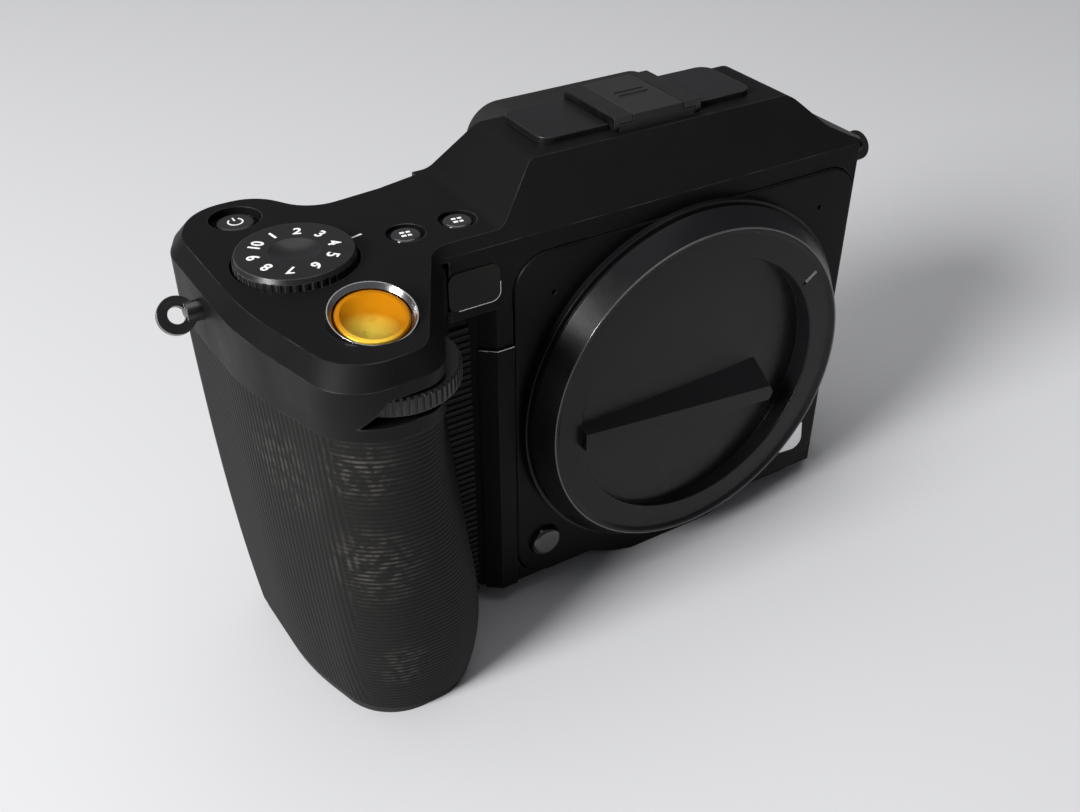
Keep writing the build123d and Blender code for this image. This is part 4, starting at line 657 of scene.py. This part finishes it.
class MFCAMERA_OT_controls(Operator):
    """Finish the dial, buttons, keys and wheels"""

    bl_idname = "mfcamera.controls"
    bl_label = "Finish controls"

    def execute(self, context):
        settings = context.scene.camera_finish
        dial = painted_metal("dial_metal", (0.008, 0.008, 0.0083), settings,
                             roughness=0.30, wear=1.3, specular=0.34)
        dress(("mode_dial", "front_wheel", "rear_wheel"), dial)
        carriage = moulded_plastic("control_plastic", (0.012, 0.012, 0.012), settings)
        dress(("dial_carriage", "battery_lever"), carriage)
        shutter_axis = (0, -sin(SHUTTER_LEAN), cos(SHUTTER_LEAN))
        # Painted highlight on the orange shutter button: a bright yellow spot on its lower front side,
        # standing in for a lamp's reflection there.
        painted_highlight_spot = (in_mm(-78.2, -33.6, 90.6), 5.4 * MM, (1.0, 0.74, 0.09))
        orange = machined_metal("orange_metal", settings.shutter_colour, 0.34, SHUTTER_PLACE, shutter_axis,
                                painted_highlight=painted_highlight_spot)
        dress(("shutter_button",), orange)
        collar = machined_metal("collar_metal", (0.34, 0.34, 0.35), 0.16, SHUTTER_PLACE, shutter_axis)
        dress(("shutter_collar",), collar)
        power = painted_metal("power_metal", (0.012, 0.012, 0.0125), settings, roughness=0.26, specular=0.4)
        dress(("power_button",), power)
        glossy = gloss_black("domed_button", (0.008, 0.008, 0.009))
        dress(("stop_down_button", "sensitivity_button", "focus_button"), glossy)
        keys = painted_metal("key_metal", (0.016, 0.016, 0.017), settings, roughness=0.36)
        dress(("exposure_lock_button", "focus_drive_button"), keys)
        dress([f"rear_key_{number}" for number in range(1, 6)], keys)
        return {"FINISHED"}


class MFCAMERA_OT_metalwork(Operator):
    """Finish the mount, shoe, lugs, screws and release"""

    bl_idname = "mfcamera.metalwork"
    bl_label = "Finish metalwork"

    def execute(self, context):
        settings = context.scene.camera_finish
        lens_centre, lens_axis = (0, 0, LENS_AXIS_HEIGHT), (0, 1, 0)
        mount = machined_metal("mount_metal", (0.66, 0.66, 0.67), 0.24, lens_centre, lens_axis)
        dress(("mount_ring",), mount)
        release = machined_metal("release_metal", (0.74, 0.74, 0.75), 0.22, lens_centre, lens_axis)
        dress(("lens_release",), release)
        pins = plain_metal("pin_steel", (0.56, 0.56, 0.57), 0.26)
        dress(("lens_lock_pin", "axle_pins", "sensor_frame"), pins)
        dress(("strap_lugs",), plain_metal("lug_steel", (0.075, 0.072, 0.07), 0.30))
        dress(("small_screws", "base_screws"), plain_metal("black_screw_steel", (0.09, 0.088, 0.085), 0.34))
        dress(("tripod_socket",), plain_metal("socket_steel", (0.45, 0.44, 0.42), 0.32))
        dress(("hot_shoe",), plain_metal("shoe_steel", (0.055, 0.054, 0.053), 0.36))
        cover = moulded_plastic("shoe_cover_plastic", (0.02, 0.02, 0.02), settings, roughness=0.42)
        dress(("shoe_cover",), cover)
        return {"FINISHED"}


class MFCAMERA_OT_optics(Operator):
    """Finish the windows, glasses, display and sensor"""

    bl_idname = "mfcamera.optics"
    bl_label = "Finish optics"

    def execute(self, context):
        settings = context.scene.camera_finish
        dress(("lamp_window",), tinted_window("lamp_window", (0.006, 0.005, 0.0038), 0.05, 0.05))
        dress(("finder_lens",), tinted_window("finder_glass", (0.55, 0.6, 0.62), 0.03, 0.85))
        dress(("sensor_glass",), tinted_window("sensor_cover_glass", (0.75, 0.82, 0.82), 0.03, 0.9))
        dress(("display_glass",), gloss_black("display_glass", (0.004, 0.004, 0.005), 0.05))
        dress(("display_module",), gloss_black("display_panel", (0.006, 0.006, 0.008), 0.18))
        dress(("image_sensor",), light_sensor("sensor_chip"))
        inside = moulded_plastic("inner_black", (0.009, 0.009, 0.009), settings, roughness=0.7)
        dress(("light_box", "finder_module", "grip_core"), inside)
        return {"FINISHED"}


class MFCAMERA_OT_electronics(Operator):
    """Finish the boards, sockets, contacts and battery"""

    bl_idname = "mfcamera.electronics"
    bl_label = "Finish electronics"

    def execute(self, context):
        settings = context.scene.camera_finish
        board = circuit_board("board_lacquer", (0.012, 0.055, 0.03))
        dress(("main_board", "control_board", "button_board"), board)
        dress(("battery_contacts",), plain_metal("gilt_contacts", (0.82, 0.58, 0.22), 0.25))
        dress(("card_sockets",), plain_metal("socket_tin", (0.62, 0.62, 0.60), 0.3))
        sockets = moulded_plastic("socket_plastic", (0.011, 0.011, 0.011), settings)
        dress(("port_block", "contact_block"), sockets)
        dress(("battery",), moulded_plastic("battery_shell", (0.020, 0.020, 0.021), settings, roughness=0.48))
        return {"FINISHED"}


# Operators for the marks and for the bright lines that paint highlights

class MFCAMERA_OT_dial_figures(Operator):
    """Print plain numbers round the mode dial"""

    bl_idname = "mfcamera.dial_figures"
    bl_label = "Print dial figures"

    def execute(self, context):
        marks = context.scene.camera_marks
        first_turn = radians(100)

        def lay_figures(form):
            for i in range(marks.figure_count):
                turn = first_turn - 2 * pi * i / marks.figure_count
                outward = Matrix.Translation((0, marks.figure_ring, marks.ink_height / 2))
                mesh = figure_mesh(str(i + 1), marks.figure_height)
                mesh.transform(Matrix.Rotation(turn - pi / 2, 4, "Z") @ outward)
                form.from_mesh(mesh)
                bpy.data.meshes.remove(mesh)

        top = Matrix.Translation((*DIAL_PLACE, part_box("mode_dial")[1].z))
        set_out("dial_figures", lay_figures, top, "mode_dial", ink())
        return {"FINISHED"}


class MFCAMERA_OT_deck_marks(Operator):
    """Print the index line, the power symbol and the button marks"""

    bl_idname = "mfcamera.deck_marks"
    bl_label = "Print deck marks"

    def execute(self, context):
        ink_height = context.scene.camera_marks.ink_height
        index_turn, button_turn = radians(12), radians(-8)
        first_angle, last_angle, arc_steps = 130, 410, 28

        def lay_index(form):
            start, end, width = in_mm(12.0, 14.1, 0.45)
            raise_outline(form, stroke((start, 0), (end, 0), width), ink_height)

        index = Matrix.Translation((*DIAL_PLACE, DECK_HEIGHT)) @ Matrix.Rotation(index_turn, 4, "Z")
        set_out("dial_index_line", lay_index, index, "camera_body", ink())

        def lay_power(form):
            radius, width, line_start, line_end = in_mm(1.35, 0.3, 0.35, 1.75)
            raise_outline(form, arc_band(radius, width, first_angle, last_angle, arc_steps), ink_height)
            raise_outline(form, stroke((0, line_start), (0, line_end), width), ink_height)

        power = Matrix.Translation((*POWER_PLACE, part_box("power_button")[1].z))
        set_out("power_symbol", lay_power, power, "power_button", ink())

        def lay_bars(form):
            bar_width = 0.62 * MM
            for bar in ((-0.55, 0.62, 0.42), (0.6, 0.62, 0.38), (-0.5, -0.62, 0.46), (0.62, -0.62, 0.36)):
                across, up, reach = in_mm(*bar)
                raise_outline(form, stroke((across - reach, up), (across + reach, up), bar_width), ink_height)

        turned = Matrix.Rotation(button_turn, 4, "Z")
        for name, across_deck in (("sensitivity_button", (-58.5, -5.8)), ("focus_button", (-47.9, -5.7))):
            spot = Matrix.Translation((*in_mm(*across_deck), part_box(name)[1].z))
            set_out(f"{name}_marks", lay_bars, spot @ turned, name, ink())
        return {"FINISHED"}


class MFCAMERA_OT_trim_line(Operator):
    """Lay a bright metal strip along the top of the front trim, a painted highlight for the glint on its top
    edge
    """

    bl_idname = "mfcamera.trim_line"
    bl_label = "Lay trim line"

    def execute(self, context):
        line_height = 0.14 * MM
        corners = (
            in_mm(-48.74, -13.75), in_mm(-45.72, -16.14), in_mm(-42.0, -16.14),
            in_mm(-42.0, -15.72), in_mm(-45.55, -15.72), in_mm(-48.5, -13.42))

        def lay_highlight(form):
            raise_outline(form, corners, line_height)

        # Painted highlight: the bright strip stands in for the glint along the trim's top bevel.
        top = Matrix.Translation((0, 0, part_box("front_trim")[1].z))
        set_out("trim_top_highlight", lay_highlight, top, "camera_body", painted_highlight_metal())
        return {"FINISHED"}


class MFCAMERA_OT_window_edge(Operator):
    """Lay a bright metal strip along the lamp window's foot and up its right side, a painted highlight for
    the window edge that catches the light
    """

    bl_idname = "mfcamera.window_edge"
    bl_label = "Lay window edge"

    def execute(self, context):
        across, foot, corner, width, height = in_mm(5.45, 4.0, 2.0, 0.16, 0.05)
        first_bend, bend_step, bend_count = -90, 9, 11
        bends = [radians(first_bend + bend_step * step) for step in range(bend_count)]
        centre = (across - corner, corner - foot)
        outer = [(corner - across, -foot), *arc(corner, bends, centre), (across, 0)]
        inner = [(corner - across, width - foot), *arc(corner - width, bends, centre), (across - width, 0)]

        def lay_edge_highlight(form):
            raise_outline(form, outer + inner[::-1], height)

        # Painted highlight: the bright strip stands in for the light caught by the window's edge.
        window_low, window_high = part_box("lamp_window")
        middle = (window_low + window_high) / 2
        facing = facing_front(middle.x, window_low.y, middle.z)
        set_out("window_edge_highlight", lay_edge_highlight, facing, "camera_body", painted_highlight_metal())
        return {"FINISHED"}


class MFCAMERA_OT_cap_rim(Operator):
    """Turn the polished edge of the body cap's rim"""
    # Turn a thin glossy ring on the body cap's rim, lighter grey than the cap: partly real gloss lit by the
    # lamps, partly a painted highlight for the rim's bright edge line

    bl_idname = "mfcamera.cap_rim"
    bl_label = "Turn cap rim"

    def execute(self, context):
        edge_radius, edge_round, from_plate = in_mm(36.95, 0.22, 23.08)
        around, section = 160, 8

        def turn_edge(form):
            bends = arc(edge_round, [2 * pi * j / section for j in range(section)], (edge_radius, 0))
            rings = [
                [form.verts.new((out * cos(turn), out * sin(turn), rise)) for out, rise in bends]
                for turn in (2 * pi * i / around for i in range(around))]
            for i, ring in enumerate(rings):
                after = rings[(i + 1) % around]
                for j in range(section):
                    k = (j + 1) % section
                    face = form.faces.new((ring[j], after[j], after[k], ring[k]))
                    face.smooth = True

        # Partly painted highlight: the ring's grey is lighter than the cap's so that the rim's edge reads as
        # a bright line; its gloss catches the real lamps too.
        gloss = gloss_black("cap_rim_gloss_highlight", (0.03, 0.03, 0.031), 0.16)
        facing = facing_front(0, -from_plate, LENS_AXIS_HEIGHT)
        set_out("cap_rim_highlight_ring", turn_edge, facing, "body_cap", gloss)
        return {"FINISHED"}


class MFCAMERA_OT_cap_tick(Operator):
    """Print the index tick on the body cap"""

    bl_idname = "mfcamera.cap_tick"
    bl_label = "Print cap tick"

    def execute(self, context):
        ink_height = context.scene.camera_marks.ink_height
        start, end, width, from_plate = in_mm(32.0, 35.2, 0.75, 22.6)
        tick_turn = radians(34.5)

        def lay_tick(form):
            raise_outline(form, stroke((start, 0), (end, 0), width), ink_height)

        faded = printed_ink("faded_ink", scaled(context.scene.camera_finish.mark_colour, 0.22))
        facing = facing_front(0, -from_plate, LENS_AXIS_HEIGHT) @ Matrix.Rotation(tick_turn, 4, "Z")
        set_out("cap_index_tick", lay_tick, facing, "body_cap", faded)
        return {"FINISHED"}


# Stage

def lay_floor(context, settings):
    """A wide sheet of pale paper under the part."""
    ground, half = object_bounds()[0].z, 3.0
    floor_mesh = bpy.data.meshes.new("stage_floor")
    floor_mesh.from_pydata(
        [(-half, -half, ground), (half, -half, ground), (half, half, ground), (-half, half, ground)],
        [], [(0, 1, 2, 3)])
    floor = bpy.data.objects.new("stage_floor", floor_mesh)
    context.collection.objects.link(floor)
    paper, tree, shader = start_finish("stage_paper", settings.floor_colour, 0.85, specular=0.2)
    fibre = cloud(tree, 0.8 * MM, "paper fibre")
    toned = blend_colours(tree, fibre, scaled(settings.floor_colour, 0.985), settings.floor_colour, "paper")
    tree.links.new(toned, shader.inputs["Base Color"])
    floor_mesh.materials.append(paper)
    floor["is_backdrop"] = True


def set_room(scene, settings):
    """Even light from the room, with a paler backdrop that only the view and clear pieces see."""
    room = bpy.data.worlds.new("stage_room")
    room.use_nodes = True
    scene.world = room
    tree = room.node_tree
    air = tree.nodes["Background"]
    air.inputs["Color"].default_value = (0.93, 0.95, 1.0, 1)
    air.inputs["Strength"].default_value = settings.sky_strength
    backdrop = place(tree, "ShaderNodeBackground", "backdrop", Color=(0.80, 0.80, 0.81, 1), Strength=0.92)
    ray = place(tree, "ShaderNodeLightPath", "what looks").outputs
    seen = combine(tree, "MAXIMUM", ray["Is Camera Ray"], ray["Is Transmission Ray"], "seen")
    chosen = place(tree, "ShaderNodeMixShader", "backdrop or light")
    tree.links.new(seen, chosen.inputs["Fac"])
    tree.links.new(air.outputs["Background"], chosen.inputs[1])
    tree.links.new(backdrop.outputs["Background"], chosen.inputs[2])
    tree.links.new(chosen.outputs["Shader"], tree.nodes["World Output"].inputs["Surface"])


def hang_lamp(context, name, spot, size, power):
    """One round lamp that faces the part."""
    light = bpy.data.lights.new(name, "AREA")
    light.shape = "DISK"
    light.size = size
    light.energy = power
    lamp = bpy.data.objects.new(name, light)
    lamp.location = spot
    lamp.rotation_mode = "QUATERNION"
    lamp.rotation_quaternion = (LAMP_TARGET - Vector(spot)).to_track_quat("-Z", "Y")
    context.collection.objects.link(lamp)


def set_view(context, settings):
    """The camera that took the photograph, as it was solved from points on the part."""
    view = bpy.data.cameras.new("photo_view")
    view.sensor_width = SENSOR_WIDTH
    view.sensor_fit = "HORIZONTAL"
    view.lens = settings.focal_length
    view.clip_start = 0.01
    view.dof.use_dof = False
    looker = bpy.data.objects.new("photo_view", view)
    context.collection.objects.link(looker)
    forward = Vector(VIEW_FORWARD).normalized()
    right = Vector(VIEW_RIGHT).normalized()
    up = right.cross(forward)
    looker.matrix_world = Matrix((*zip(right, up, -forward, VIEW_PLACE), (0, 0, 0, 1)))
    context.scene.camera = looker


class MFCAMERA_OT_stage(Operator):
    """Lay the pale floor, hang the lamps and set up the view of the photograph"""

    bl_idname = "mfcamera.stage"
    bl_label = "Set up stage"

    def execute(self, context):
        settings = context.scene.camera_stage
        context.scene.view_settings.view_transform = "Standard"
        lay_floor(context, settings)
        set_room(context.scene, settings)
        hang_lamp(context, "stage_overhead_lamp", (-0.15, 0.45, 2.2), 2.8, settings.overhead_power)
        hang_lamp(context, "stage_side_lamp", (-1.15, -0.28, 0.72), 0.50, settings.side_power)
        set_view(context, settings)
        return {"FINISHED"}


# Panel and registration

STEPS = (
    MFCAMERA_OT_covers, MFCAMERA_OT_rubber, MFCAMERA_OT_cap, MFCAMERA_OT_controls, MFCAMERA_OT_metalwork,
    MFCAMERA_OT_optics, MFCAMERA_OT_electronics, MFCAMERA_OT_dial_figures, MFCAMERA_OT_deck_marks,
    MFCAMERA_OT_trim_line, MFCAMERA_OT_window_edge, MFCAMERA_OT_cap_rim, MFCAMERA_OT_cap_tick,
    MFCAMERA_OT_stage,
)


class MFCAMERA_PT_panel(Panel):
    """Settings and steps of the camera body"""

    bl_idname = "MFCAMERA_PT_panel"
    bl_label = "Camera Body"
    bl_space_type = "VIEW_3D"
    bl_region_type = "UI"
    bl_category = "Camera Body"

    def draw(self, context):
        for group in (context.scene.camera_finish, context.scene.camera_marks, context.scene.camera_stage):
            box = self.layout.box()
            for key in group.__annotations__:
                box.prop(group, key)
        for step in STEPS:
            self.layout.operator(step.bl_idname)


CLASSES = (CameraFinishSettings, CameraMarkSettings, CameraStageSettings, *STEPS, MFCAMERA_PT_panel)


def register():
    for cls in CLASSES:
        bpy.utils.register_class(cls)
    bpy.types.Scene.camera_finish = PointerProperty(type=CameraFinishSettings)
    bpy.types.Scene.camera_marks = PointerProperty(type=CameraMarkSettings)
    bpy.types.Scene.camera_stage = PointerProperty(type=CameraStageSettings)


def unregister():
    del bpy.types.Scene.camera_stage
    del bpy.types.Scene.camera_marks
    del bpy.types.Scene.camera_finish
    for cls in reversed(CLASSES):
        bpy.utils.unregister_class(cls)


def main():
    """Runs every step in order."""
    register()
    for step in STEPS:
        group, action = step.bl_idname.split(".")
        getattr(getattr(bpy.ops, group), action)()


if __name__ == "__main__":
    main()
